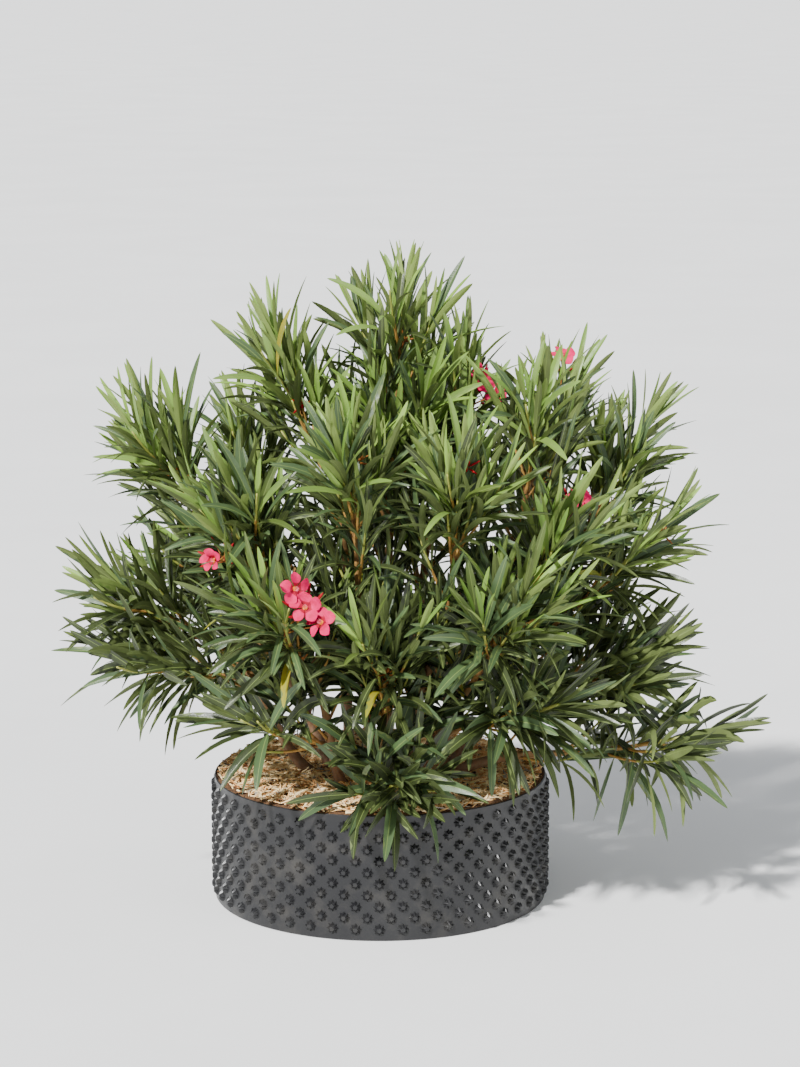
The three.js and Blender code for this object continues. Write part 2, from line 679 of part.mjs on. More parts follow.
const materials = {
  pot: new THREE.MeshStandardMaterial({ color: 0x38383a, roughness: 0.42, metalness: 0 }),
  mulch: new THREE.MeshStandardMaterial({ color: 0xc79a68, roughness: 0.95, metalness: 0 }),
  bark: new THREE.MeshStandardMaterial({ color: 0x6f4a35, roughness: 0.85, metalness: 0 }),
  bough: new THREE.MeshStandardMaterial({ color: 0x8a6a3f, roughness: 0.8, metalness: 0 }),
  leaf: new THREE.MeshStandardMaterial({ color: 0x3f6b2c, roughness: 0.5, metalness: 0 }),
};

const plant = new THREE.Group();

// Adds one named sub-part to the plant.
function addPiece(name, geometry, material) {
  const mesh = new THREE.Mesh(geometry, material);
  mesh.name = name;
  plant.add(mesh);
}

addPiece('pot', potGeometry(), materials.pot);
addPiece('root_ball', rootBallGeometry(), materials.mulch);
for (const [name, limb] of limbs) {
  const solid = limbSolid(limb, 0);
  if (limb.parent) {
    addPiece(`bough_${name}`, toGeometry(solid.subtract(grown(limb.parent))), materials.bough);
  } else {
    addPiece(`cane_${name}`, toGeometry(solid), materials.bark);
  }
}
[...masses.keys()].forEach((name, order) => {
  addPiece(`foliage_${name}`, foliageGeometry(name, SEED + order), materials.leaf);
});

export default plant;
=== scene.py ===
# Potted oleander (Nerium oleander) in flower: a many-caned shrub in a low root-training pot.
# Metres, +Z up. The origin is the centre of the pot's flat underside, and -Y is the front.

import math

import bpy
import numpy as np
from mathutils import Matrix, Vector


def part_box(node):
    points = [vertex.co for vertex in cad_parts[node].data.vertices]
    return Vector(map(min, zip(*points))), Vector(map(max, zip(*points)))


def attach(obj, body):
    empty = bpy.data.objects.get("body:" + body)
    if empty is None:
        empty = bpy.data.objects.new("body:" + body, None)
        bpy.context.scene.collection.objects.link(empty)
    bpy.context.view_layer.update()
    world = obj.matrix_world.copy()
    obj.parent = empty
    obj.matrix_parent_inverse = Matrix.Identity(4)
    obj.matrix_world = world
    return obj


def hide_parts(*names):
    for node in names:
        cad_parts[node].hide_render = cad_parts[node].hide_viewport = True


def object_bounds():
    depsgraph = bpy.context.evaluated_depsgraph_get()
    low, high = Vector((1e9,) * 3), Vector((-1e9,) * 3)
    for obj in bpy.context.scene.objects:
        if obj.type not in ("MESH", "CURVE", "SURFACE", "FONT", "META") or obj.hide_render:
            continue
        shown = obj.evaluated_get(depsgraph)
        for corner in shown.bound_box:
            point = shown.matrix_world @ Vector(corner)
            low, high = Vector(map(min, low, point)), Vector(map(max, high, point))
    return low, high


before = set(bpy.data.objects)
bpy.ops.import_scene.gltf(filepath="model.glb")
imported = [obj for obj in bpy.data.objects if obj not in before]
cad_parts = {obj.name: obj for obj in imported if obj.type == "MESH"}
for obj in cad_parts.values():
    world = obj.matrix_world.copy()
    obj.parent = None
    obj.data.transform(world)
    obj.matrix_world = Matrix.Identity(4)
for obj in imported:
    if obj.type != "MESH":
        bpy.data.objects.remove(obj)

cad_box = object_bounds()


# ---- Camera -----------------------------------------------------------------------------------
# The view of a shrub that stands on the ground, from a few steps away: about five metres off,
# with the eye a little above the crown and tilted down on to it through a long lens.

EYE = (0.033, -5.03, 1.55)
EYE_TILT = math.radians(10.57)
LENS = 104.6
FARTHEST_SEEN = 1000.0

camera = bpy.data.objects.new("camera", bpy.data.cameras.new("camera"))
camera.data.lens = LENS
camera.data.clip_end = FARTHEST_SEEN
camera.location = EYE
camera.rotation_euler = (math.pi / 2 - EYE_TILT, 0, 0)
bpy.context.collection.objects.link(camera)
bpy.context.scene.camera = camera


# ---- Pot --------------------------------------------------------------------------------------
# A root-training pot: a sheet of black HDPE, moulded with a staggered lattice of hollow fluted
# cusps and bent round to a cylinder, on a flat base. Each cusp is a star at its foot and a small
# round knob at its point.

POT_RADIUS = 0.277
POT_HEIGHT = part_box("pot")[1].z
POT_WALL = 0.003
POT_BASE = 0.004
POT_EDGE = 0.0012  # chamfer at rim and foot
POT_COLUMNS, POT_RINGS = 184, 23
CUSP_COLUMNS = 46
CUSP_HALF_ROWS = 11  # half pitches from foot to rim
CUSP_FLUTES = 8
CUSP_RINGS = (  # radius, height off the wall, and depth of the flutes as a share of the radius
    (0.0088, -0.0004, 0.20),
    (0.0060, 0.0036, 0.22),
    (0.0035, 0.0062, 0.12),
)
CUSP_POINT = 0.0066  # height of the knob


def linear(colour):
    """An sRGB hex colour as linear light: each channel c is ((c + 0.055) / 1.055) to the power
    2.4, or c / 12.92 where it is very dark."""
    channels = [int(colour[i:i + 2], 16) / 255 for i in (1, 3, 5)]
    light = [c / 12.92 if c <= 0.04045 else ((c + 0.055) / 1.055) ** 2.4 for c in channels]
    return (*light, 1.0)


def connect(material, node, inputs):
    """Each socket of the node that inputs names gets its value, or a link from an output."""
    for key, value in inputs.items():
        if isinstance(value, bpy.types.NodeSocket):
            material.node_tree.links.new(value, node.inputs[key])
        else:
            node.inputs[key].default_value = value


def add_node(material, kind, inputs, **settings):
    """A node of that kind in the material, with its settings, values and links."""
    node = material.node_tree.nodes.new(kind)
    for name, value in settings.items():
        setattr(node, name, value)
    connect(material, node, inputs)
    return node


def new_material(name, sockets):
    """A material of that name, with its shader and the numbers on the shader's own sockets."""
    material = bpy.data.materials.new(name)
    material.use_nodes = True
    shader = material.node_tree.nodes["Principled BSDF"]
    connect(material, shader, sockets)
    return material, shader


def mottle(material, size, detail=4.0, contrast=(0.35, 0.65)):
    """Cloudy noise with clouds of the given size in metres, on Object coordinates, from 0 to 1:
    the noise's middle range, between the two levels of contrast, is stretched to the whole."""
    place = add_node(material, "ShaderNodeTexCoord", {}).outputs["Object"]
    noise = add_node(material, "ShaderNodeTexNoise", {
        "Vector": place, "Scale": 1 / size, "Detail": detail, "Roughness": 0.6,
    })
    spread = add_node(material, "ShaderNodeMapRange", {
        "Value": noise.outputs["Fac"], "From Min": contrast[0], "From Max": contrast[1],
    })
    return spread.outputs["Result"]


def blend(material, share, first, second):
    """A colour between two, each a hex colour or an output, by a share from 0 to 1."""
    a, b = (linear(c) if isinstance(c, str) else c for c in (first, second))
    mix = add_node(material, "ShaderNodeMix", {0: share, 6: a, 7: b}, data_type="RGBA")
    return mix.outputs[2]


def span(material, share, low, high):
    """A number between low and high by a share from 0 to 1."""
    stretch = add_node(material, "ShaderNodeMapRange", {
        "Value": share, "To Min": low, "To Max": high,
    })
    return stretch.outputs["Result"]


def relief(material, shader, height, depth, strength=1.0):
    """The shader's surface, raised by height, from 0 to 1, times a depth in metres."""
    bump = add_node(material, "ShaderNodeBump", {
        "Height": height, "Distance": depth, "Strength": strength,
    })
    connect(material, shader, {"Normal": bump.outputs["Normal"]})


def grid_faces(rows, columns):
    """The quads of a grid of points whose columns run round a closed ring."""
    row, column = np.meshgrid(np.arange(rows - 1), np.arange(columns), indexing="ij")
    here, next_one = row * columns + column, row * columns + (column + 1) % columns
    quads = np.stack([here, next_one, next_one + columns, here + columns], axis=-1)
    return quads.reshape(-1, 4)


def make_piece(name, points, faces, materials, slots=None, sharp=None):
    """An object at the origin from an array of points and a list of arrays of faces, each face
    a row of its corners. slots gives each face's material. Edges over the sharp angle, in
    degrees, are creases, and the rest of the surface is smooth."""
    sizes = np.concatenate([np.full(len(part), part.shape[1]) for part in faces])
    corners = np.concatenate([part.ravel() for part in faces]).astype(np.int32)
    starts = (np.cumsum(sizes) - sizes).astype(np.int32)
    mesh = bpy.data.meshes.new(name)
    mesh.vertices.add(len(points))
    mesh.vertices.foreach_set("co", np.asarray(points, dtype=np.float32).ravel())
    mesh.loops.add(len(corners))
    mesh.loops.foreach_set("vertex_index", corners)
    mesh.polygons.add(len(starts))
    mesh.polygons.foreach_set("loop_start", starts)
    for material in materials:
        mesh.materials.append(material)
    if slots is not None:
        mesh.polygons.foreach_set("material_index", np.asarray(slots, dtype=np.int32))
    mesh.update(calc_edges=True)
    mesh.shade_smooth()
    if sharp is not None:
        mesh.set_sharp_from_angle(angle=math.radians(sharp))
    mesh.validate()
    piece = bpy.data.objects.new(name, mesh)
    bpy.context.collection.objects.link(piece)
    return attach(piece, "root")


def angles(count):
    """Angles at even steps round a circle, from zero."""
    return np.arange(count) * 2 * np.pi / count


def lathe(profile, columns):
    """The points and faces of a profile turned round the Z axis: a point (r, z) becomes
    (r cos a, r sin a, z). The profile starts and ends on the axis, where fans close it."""
    r, z = np.array(profile[1:-1]).T
    angle = angles(columns)
    ring = np.stack([np.outer(r, np.cos(angle)), np.outer(r, np.sin(angle)),
                     np.repeat(z[:, None], columns, axis=1)], axis=-1)
    points = np.concatenate([ring.reshape(-1, 3), [[0, 0, profile[0][1]], [0, 0, profile[-1][1]]]])
    column = np.arange(columns)
    following = (column + 1) % columns
    last = (len(r) - 1) * columns
    bottom = np.stack([np.full(columns, len(points) - 2), following, column], axis=-1)
    top = np.stack([np.full(columns, len(points) - 1), last + column, last + following], axis=-1)
    return points, [grid_faces(len(r), columns), bottom, top]


def pot_profile():
    """Half of the pot's section from the middle of its underside, up the wall, over the rim and
    back to the middle of its floor, with a small chamfer at each edge."""
    inner = POT_RADIUS - POT_WALL
    wall = [(POT_RADIUS, z) for z in np.linspace(POT_EDGE, POT_HEIGHT - POT_EDGE, POT_RINGS)]
    return [
        (0, 0), (POT_RADIUS - POT_EDGE, 0), *wall,
        (POT_RADIUS - POT_EDGE, POT_HEIGHT), (inner + POT_EDGE, POT_HEIGHT),
        (inner, POT_HEIGHT - POT_EDGE), (inner, POT_BASE), (0, POT_BASE),
    ]


def cusps():
    """Every cusp's points and faces. Each ring's radius swells and narrows with the cosine of
    the flutes' angle, and the star is bent on to the wall: its sideways distance becomes an
    angle round the pot, and its height a distance beyond the wall."""
    steps = 2 * CUSP_FLUTES
    angle = angles(steps)
    radius, height, flute = np.array(CUSP_RINGS).T
    reach = radius[:, None] * (1 + flute[:, None] * np.cos(CUSP_FLUTES * angle))
    sideways = np.append((reach * np.cos(angle)).ravel(), 0)
    upwards = np.append((reach * np.sin(angle)).ravel(), 0)
    outwards = np.append(np.repeat(height, steps), CUSP_POINT)
    column, row = np.meshgrid(np.arange(2 * CUSP_COLUMNS), np.arange(1, CUSP_HALF_ROWS))
    chosen = (column + row) % 2 == 1
    turn = np.pi * column[chosen] / CUSP_COLUMNS - np.pi / 2
    level = POT_HEIGHT * row[chosen] / CUSP_HALF_ROWS
    bearing = turn[:, None] + sideways / POT_RADIUS
    reach = np.broadcast_to(POT_RADIUS + outwards, bearing.shape)
    points = np.stack([reach * np.cos(bearing), reach * np.sin(bearing),
                       level[:, None] + upwards], axis=-1)
    ring = np.arange(steps)
    last = (len(radius) - 1) * steps
    knob = np.stack([last + ring, last + (ring + 1) % steps,
                     np.full(steps, len(sideways) - 1)], axis=-1)
    first = np.arange(len(turn))[:, None, None] * len(sideways)
    sides = (grid_faces(len(radius), steps) + first).reshape(-1, 4)
    return points.reshape(-1, 3), [sides, (knob + first).reshape(-1, 3), ring[::-1] + first[:, 0]]


# Black HDPE sheet, vacuum-formed: a soft gloss that the mould's fine grain clouds, and faint
# pale splashes where watering has left dust.
hdpe, shader = new_material("vacuum_formed_hdpe_sheet", {"IOR": 1.54, "Specular IOR Level": 0.38})
dust = mottle(hdpe, 0.045, detail=8.0, contrast=(0.5, 0.78))
plain = blend(hdpe, mottle(hdpe, 0.16), "#18181a", "#222223")
connect(hdpe, shader, {
    "Base Color": blend(hdpe, span(hdpe, dust, 0.0, 0.35), plain, "#57534c"),
    "Roughness": span(hdpe, mottle(hdpe, 0.02, detail=6.0), 0.32, 0.44),
})
relief(hdpe, shader, mottle(hdpe, 0.006, detail=3.0), depth=0.0003, strength=0.35)

pot_points, pot_faces = lathe(pot_profile(), POT_COLUMNS)
pot = make_piece("pot_wall", pot_points, pot_faces, [hdpe], sharp=35)
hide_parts("pot")

cusp_points, cusp_faces = cusps()
make_piece("pot_cusps", cusp_points, cusp_faces, [hdpe], sharp=34)


# ---- Root ball and mulch ----------------------------------------------------------------------
# Dark compost up to the rim under a loose mulch of straw, shredded bark and pale wood chips:
# thousands of thin flat scraps that lie on and across each other.

FILL_GAP, FILL_FOOT_GAP = 0.0005, 0.0003  # off the pot's wall and base
FILL_RADIUS = POT_RADIUS - POT_WALL - FILL_GAP
FILL_FOOT = POT_BASE + FILL_FOOT_GAP
FILL_TOP_LEVEL, FILL_EDGE_LEVEL = 0.2103, 0.2072
FILL_TOP_RADIUS = 0.150  # of the level middle
FILL_RINGS, FILL_COLUMNS = 46, 150
HUMMOCKS = ((0.062, 0.0016), (0.031, 0.0012), (0.015, 0.0008))  # length and height of each wave
HUMMOCK_TURN = 6.3  # radians in a wave's length
CHIP_KINDS = (  # how many, shortest and longest, narrowest and widest, thinnest and thickest
    (6200, 0.010, 0.034, 0.0014, 0.0034, 0.0007, 0.0014),
    (1300, 0.008, 0.022, 0.0035, 0.0075, 0.0010, 0.0022),
)
CHIP_TILT = 0.28  # spread of their slopes, in radians
CHIP_CURL = 0.12  # spread of their bends, as shares of their lengths
CHIP_LAYERS = 0.0052  # how deep they lie on each other
CHIP_RIM_GAP = 0.002
CHIP_SPREADING = 0.45  # power of the draw of their reach: 0.5 is even, less crowds the rim
CHIP_TAPER = np.array([0.62, 1.0, 0.5])  # breadth at the first end, the middle and the last end

random = np.random.default_rng(4100)


def fill_level(x, y):
    """The compost's height: level round the middle, falling evenly from there to the rim, with
    hummocks that are sums of crossed sine waves."""
    reach = np.hypot(x, y)
    fall = np.clip((reach - FILL_TOP_RADIUS) / (FILL_RADIUS - FILL_TOP_RADIUS), 0, 1)
    level = FILL_TOP_LEVEL + (FILL_EDGE_LEVEL - FILL_TOP_LEVEL) * fall
    for length, height in HUMMOCKS:
        across, along = HUMMOCK_TURN * x / length, HUMMOCK_TURN * y / length
        level = level + height * np.sin(across + 2 * fall) * np.cos(along + 1)
    return level


def loft(rings):
    """The points and faces of many closed skins, given as (skins, rings, sides, 3): quads join
    each ring to the next, and one face closes each end. The rings run anticlockwise, seen from
    the far end."""
    count, length, sides = rings.shape[:3]
    first = np.arange(count)[:, None, None] * length * sides
    walls = (grid_faces(length, sides) + first).reshape(-1, 4)
    end = np.arange(sides) + first[:, 0]
    return rings.reshape(-1, 3), [walls, end[:, ::-1], end + (length - 1) * sides]


def chips(count, short, long, narrow, wide, thin, thick):
    """Scraps of wood as three-ring lofts: each is a flat bar round a curled line that lies at
    any bearing, nearly level, a little narrower at its ends."""
    size, width = random.uniform(short, long, count), random.uniform(narrow, wide, count)
    depth, bearing = random.uniform(thin, thick, count), random.uniform(0, 2 * np.pi, count)
    spot = random.uniform(0, 2 * np.pi, count)
    slant = bearing - spot
    room = np.sqrt((FILL_RADIUS - CHIP_RIM_GAP) ** 2 - (size / 2 * np.sin(slant)) ** 2)
    room = room - size / 2 * np.abs(np.cos(slant))
    reach = random.uniform(0, 1, count) ** CHIP_SPREADING * room
    x, y = reach * np.cos(spot), reach * np.sin(spot)
    lift = fill_level(x, y) + random.uniform(0, CHIP_LAYERS, count)
    tilt, roll = random.normal(0, CHIP_TILT, (2, count))
    along = np.stack([np.cos(bearing) * np.cos(tilt), np.sin(bearing) * np.cos(tilt),
                      np.sin(tilt)], axis=-1)
    level = np.stack([-np.sin(bearing), np.cos(bearing), np.zeros(count)], axis=-1)
    above = np.cross(along, level)
    across = level * np.cos(roll)[:, None] + above * np.sin(roll)[:, None]
    above = np.cross(along, across)
    stations = np.array([-0.5, 0.0, 0.5])
    curl = random.normal(0, CHIP_CURL, count)
    centre = np.stack([x, y, lift + depth], axis=-1)[:, None] + (
        along[:, None] * (stations * size[:, None])[..., None]
        + across[:, None] * (np.abs(stations) * (curl * size)[:, None])[..., None])
    side = np.array([-0.5, 0.5, 0.5, -0.5])
    height = np.array([-0.5, -0.5, 0.5, 0.5])
    breadth = width[:, None, None] * CHIP_TAPER[:, None] * side
    thickness = depth[:, None, None] * np.ones((3, 1)) * height
    ring = across[:, None, None] * breadth[..., None] + above[:, None, None] * thickness[..., None]
    return centre[:, :, None] + ring


# Peaty compost, damp and dark between the chips, with crumbs a few millimetres across.
compost, shader = new_material("damp_peat_compost", {"Roughness": 0.95})
crumbs = mottle(compost, 0.004, detail=6.0)
connect(compost, shader, {"Base Color": blend(compost, crumbs, "#4a3220", "#86603c")})
relief(compost, shader, crumbs, depth=0.002)


def wood_chip(name, light, dark):
    """Dry wood, torn or shredded and quite matt: its fibres, drawn coarser than they are so
    that they show, go from dark to light, and broad patches of it are bleached."""
    wood, shader = new_material(name, {"Roughness": 0.82})
    grain = mottle(wood, 0.0035, detail=5.0)
    patch = mottle(wood, 0.03)
    connect(wood, shader, {"Base Color": blend(wood, patch, blend(wood, grain, dark, light), light)})
    relief(wood, shader, grain, depth=0.0005, strength=0.6)
    return wood


mulch_woods = [
    wood_chip("dry_straw", "#ffe9b6", "#f0c88c"),
    wood_chip("pale_pine_chip", "#f3c688", "#d49c5a"),
    wood_chip("tan_pine_bark", "#d59c60", "#aa743f"),
    wood_chip("red_brown_bark", "#7f4727", "#552d1a"),
    wood_chip("weathered_grey_chip", "#b9af9f", "#8c8173"),
    wood_chip("damp_brown_bark", "#5b3a24", "#3a2416"),
]
CHIP_SHARES = (  # of each wood, among the straws and among the chips
    (0.54, 0.28, 0.09, 0.03, 0.05, 0.01),
    (0.3, 0.36, 0.18, 0.06, 0.06, 0.04),
)

shares = np.linspace(0, 1, FILL_RINGS)[1:]
fill_profile = [(0, FILL_FOOT), (FILL_RADIUS, FILL_FOOT)]
fill_profile += [(FILL_RADIUS * s, FILL_TOP_LEVEL) for s in shares[::-1]] + [(0, FILL_TOP_LEVEL)]
fill_points, fill_faces = lathe(fill_profile, FILL_COLUMNS)
is_top = fill_points[:, 2] > FILL_FOOT
fill_points[is_top, 2] = fill_level(*fill_points[is_top, :2].T)
root_ball = make_piece("compost", fill_points, fill_faces, [compost], sharp=50)
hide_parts("root_ball")

for name, sizes, mix in zip(("mulch_straw", "mulch_chips"), CHIP_KINDS, CHIP_SHARES):
    rings = chips(*sizes)
    points, faces = loft(rings)
    deal = random.choice(len(mulch_woods), len(rings), p=mix)
    per_wall = (rings.shape[1] - 1) * rings.shape[2]
    slots = np.concatenate([np.repeat(deal, per_wall), deal, deal])
    make_piece(name, points, faces, mulch_woods, slots, sharp=30)


# ---- Canes and boughs -------------------------------------------------------------------------
# Woody canes that stand in the mulch and lean out from the middle, and the side boughs that fork
# from them. Their thin bark is furrowed lengthwise and ringed at every node by three old leaf
# scars, brown and greyish at the foot and greener towards the young wood.

CANE_FOOT_RADIUS, CANE_TIP_RADIUS = 0.009, 0.0044
BOUGH_FOOT_RADIUS, BOUGH_TIP_RADIUS = 0.0056, 0.0038
BOUGH_TO_PARENT = 0.8  # a bough's greatest radius, as a share of its cane's
ROOT_FLARE, FLARE_FALL = 0.35, 20.0  # extra share of the radius at the foot, how fast it fades
CLEAR = 0.0003  # between a limb's end and the stem that it carries
STEM_LENGTH = 0.200
STEM_SAG = 0.05  # as a share of its chord
LIMB_RUN = 0.42  # how far a limb keeps its first and last direction, as a share of its chord
BOUGH_RISE = 0.25  # how far a bough's start turns upwards from its chord
LIMB_SIDES = 20
LIMB_STEP = 0.0045
LIMB_PHASE = 1.7  # from one limb's furrows and nodes to the next one's, in radians
NODE_SPACING, NODE_SCATTER, NODE_BEAT = 0.047, 0.006, 2.1
NODE_SWELL, NODE_WIDTH = 0.09, 0.0028
SCAR_SWELL, SCAR_WIDTH, SCAR_ANGLE = 0.16, 0.0035, 0.42
CHORDS = 200  # straight pieces by which a curve's length is measured
AGE_FALL = 0.8  # the power by which bark gets younger along a limb
FURROWS = ((7, 0.020, 9.0), (11, 0.014, -14.0), (16, 0.009, 23.0))  # count, depth, twist per metre
UP = np.array([0.0, 0.0, 1.0])

# Each cane: its mass's bearing in degrees from +X, reach and height of the stem's tip, the
# stem's lift from level, how far out the cane's foot stands and at which bearing, and its lean.
CANES = {
    "top_centre": (50, 0.062, 1.000, 84, 0.018, 50, 88),
    "top_left": (174, 0.172, 0.930, 70, 0.048, 174, 84),
    "top_right": (8, 0.144, 0.900, 78, 0.052, 8, 86),
    "right_top_outer": (359, 0.430, 0.795, 63, 0.088, 14, 66),
    "right_mid": (350, 0.470, 0.640, 44, 0.108, 350, 50),
    "right_hanging": (346, 0.552, 0.312, 14, 0.118, 334, 30),
    "right_front": (306, 0.390, 0.580, 52, 0.112, 306, 62),
    "centre_right": (298, 0.284, 0.770, 78, 0.084, 290, 76),
    "front_mid": (272, 0.258, 0.515, 76, 0.132, 272, 66),
    "centre_left": (259, 0.214, 0.800, 82, 0.078, 259, 80),
    "left_front": (238, 0.352, 0.570, 48, 0.118, 238, 60),
    "left_top": (181, 0.378, 0.800, 62, 0.084, 170, 66),
    "left_outer": (184, 0.446, 0.545, 34, 0.120, 190, 46),
    "back_left": (146, 0.420, 0.560, 44, 0.104, 146, 56),
    "back_right": (42, 0.430, 0.600, 50, 0.100, 42, 58),
}

# Each side mass: the cane that it forks from, at which share of its length, and the bearing,
# reach, height and lift of its stem's tip. The last entry says whether it has its own bough.
SIDES = {
    "right_top_front": ("right_top_outer", 0.5, 339, 0.284, 0.865, 80, True),
    "right_top_back": ("right_top_outer", 0.62, 17, 0.338, 0.850, 74, True),
    "right_inner": ("right_mid", 0.45, 326, 0.366, 0.690, 62, True),
    "right_low": ("right_mid", 0.36, 350, 0.452, 0.430, 22, True),
    "right_front_low": ("right_front", 0.3, 316, 0.392, 0.388, 20, True),
    "front_drape": ("front_mid", 0.16, 276, 0.300, 0.262, 4, False),
    "centre_upper": ("top_centre", 0.78, 308, 0.128, 0.862, 84, False),
    "left_mid": ("left_top", 0.46, 218, 0.298, 0.722, 64, True),
    "left_low": ("left_outer", 0.5, 194, 0.434, 0.436, 16, True),
    "left_bottom": ("left_front", 0.34, 222, 0.300, 0.345, 8, False),
    "upper_left_back": ("top_left", 0.52, 143, 0.296, 0.765, 70, True),
    "upper_centre": ("top_centre", 0.68, 118, 0.130, 0.835, 78, False),
    "back_top": ("top_right", 0.56, 74, 0.260, 0.830, 70, True),
    "back_centre": ("back_left", 0.46, 99, 0.374, 0.640, 58, True),
    "back_low_left": ("back_left", 0.26, 120, 0.422, 0.385, 18, False),
    "back_low_right": ("back_right", 0.3, 64, 0.428, 0.400, 18, True),
}


def unit(vectors):
    """The vectors, each divided by its own length."""
    return vectors / np.linalg.norm(vectors, axis=-1, keepdims=True)


def around(bearing, reach, height):
    """A point from its bearing in degrees, its reach from the pot's axis and its height."""
    turn = math.radians(bearing)
    return np.array([reach * math.cos(turn), reach * math.sin(turn), height])


def heading(bearing, lift):
    """A unit direction from its bearing and its lift from level, in degrees."""
    return around(bearing, math.cos(math.radians(lift)), math.sin(math.radians(lift)))


def bezier(controls, t):
    """Points of a Bezier curve of any degree: neighbouring controls are blended by t, again and
    again, until one is left."""
    level = [np.asarray(c)[None, :] for c in controls]
    t = np.atleast_1d(t)[:, None]
    while len(level) > 1:
        level = [a * (1 - t) + b * t for a, b in zip(level[:-1], level[1:])]
    return level[0]


def chord_lengths(controls, t):
    """The lengths of the chords between points of a curve."""
    return np.linalg.norm(np.diff(bezier(controls, t), axis=0), axis=1)


def even(controls, shares):
    """Curve parameters at shares of the curve's length, from the lengths of short chords."""
    t = np.linspace(0, 1, CHORDS + 1)
    run = np.concatenate([[0], np.cumsum(chord_lengths(controls, t))])
    return np.interp(np.atleast_1d(shares) * run[-1], run, t)


def along_curve(controls, shares):
    """Points at shares of a curve's length."""
    return bezier(controls, even(controls, shares))


def tangents(controls, shares):
    """Unit directions of a curve at shares of its length, from its steps between controls."""
    steps = [b - a for a, b in zip(controls[:-1], controls[1:])]
    return unit(bezier(steps, even(controls, shares)))


def length_of(controls):
    """A curve's length, as the sum of short chords."""
    return chord_lengths(controls, np.linspace(0, 1, CHORDS + 1)).sum()


def stem_curve(bearing, reach, height, lift, base=None):
    """A mass's stem up to its tip, which sags a little in the middle."""
    tip = around(bearing, reach, height)
    base = tip - heading(bearing, lift) * STEM_LENGTH if base is None else base
    sag = STEM_SAG * np.linalg.norm(tip - base)
    return [base, (base + tip) / 2 - UP * sag, tip]


def limb_curve(foot, start, stem):
    """A limb from its foot, which it leaves in one direction, into the line of its stem."""
    run = np.linalg.norm(stem[0] - foot) * LIMB_RUN
    into = unit(stem[1] - stem[0])
    return [foot, foot + start * run, stem[0] - into * run, stem[0] - into * CLEAR]


def limb_radius(limb, shares):
    """A limb's radius at shares of its length: it tapers evenly, and a cane flares at its foot
    by a share that fades away upwards."""
    even_taper = limb["foot_radius"] + (limb["tip_radius"] - limb["foot_radius"]) * shares
    return even_taper * (1 + limb["flare"] * np.exp(-FLARE_FALL * shares))


limbs, stems = {}, {}
for name, (bearing, reach, height, lift, out, clock, lean) in CANES.items():
    stems[name] = stem_curve(bearing, reach, height, lift)
    foot = around(clock, out, FILL_TOP_LEVEL)
    limbs[name] = {
        "curve": limb_curve(foot, heading(bearing, lean), stems[name]), "flare": ROOT_FLARE,
        "foot_radius": CANE_FOOT_RADIUS, "tip_radius": CANE_TIP_RADIUS,
    }
for name, (parent, at, bearing, reach, height, lift, has_bough) in SIDES.items():
    foot = along_curve(limbs[parent]["curve"], at)[0]
    if not has_bough:
        stems[name] = stem_curve(bearing, reach, height, lift, foot)
        continue
    stems[name] = stem_curve(bearing, reach, height, lift)
    start = unit(unit(stems[name][0] - foot) * (1 - BOUGH_RISE) + UP * BOUGH_RISE)
    limbs[name] = {
        "curve": limb_curve(foot, start, stems[name]), "flare": 0.0,
        "foot_radius": min(BOUGH_FOOT_RADIUS, BOUGH_TO_PARENT * limb_radius(limbs[parent], at)),
        "tip_radius": BOUGH_TIP_RADIUS,
    }


def sweep(controls, shares, radii):
    """The rings of a tube round a curve: the point at share i and angle a is the curve's point
    plus radii[i, a] times (cos a of a sideways direction + sin a of the one square to it). The
    sideways direction is square to the whole curve's chord, and made square to each tangent."""
    centre, tangent = along_curve(controls, shares), tangents(controls, shares)
    chord = unit(controls[-1] - controls[0])
    sideways = np.cross(chord, UP if abs(chord[2]) < 0.9 else np.array([0.0, 1.0, 0.0]))
    first = unit(sideways - tangent * (tangent @ sideways)[:, None])
    second = np.cross(tangent, first)
    angle = angles(radii.shape[1])[:, None]
    circle = first[:, None] * np.cos(angle) + second[:, None] * np.sin(angle)
    return centre[:, None] + circle * radii[..., None]


def bark_radii(limb, shares, phase):
    """A limb's radius at each share and angle. Furrows are cosines that run lengthwise with a
    slow twist, each node is a bell-shaped ring, and its three leaf scars are bell-shaped lumps
    a third of a turn apart, which sit between those of the node below. The nodes stand at even
    steps, shifted by a sine."""
    length = length_of(limb["curve"])
    angle = angles(LIMB_SIDES)
    run = (shares * length)[:, None, None]
    node = np.arange(1, int(length / NODE_SPACING) + 1)
    place = node * NODE_SPACING + NODE_SCATTER * np.sin(node * NODE_BEAT + phase)
    apart = run - place
    ring = NODE_SWELL * np.exp(-(apart / NODE_WIDTH) ** 2)
    third = 2 * np.pi / 3
    off = (angle[:, None] - node * third / 2 - phase + third / 2) % third - third / 2
    scar = SCAR_SWELL * np.exp(-(off / SCAR_ANGLE) ** 2 - ((apart + NODE_WIDTH) / SCAR_WIDTH) ** 2)
    furrow = sum(depth * np.cos(count * angle + twist * run[..., 0] + phase * count)
                 for count, depth, twist in FURROWS)
    swell = 1 + (ring + scar).sum(axis=-1) + furrow
    return limb_radius(limb, shares)[:, None] * swell


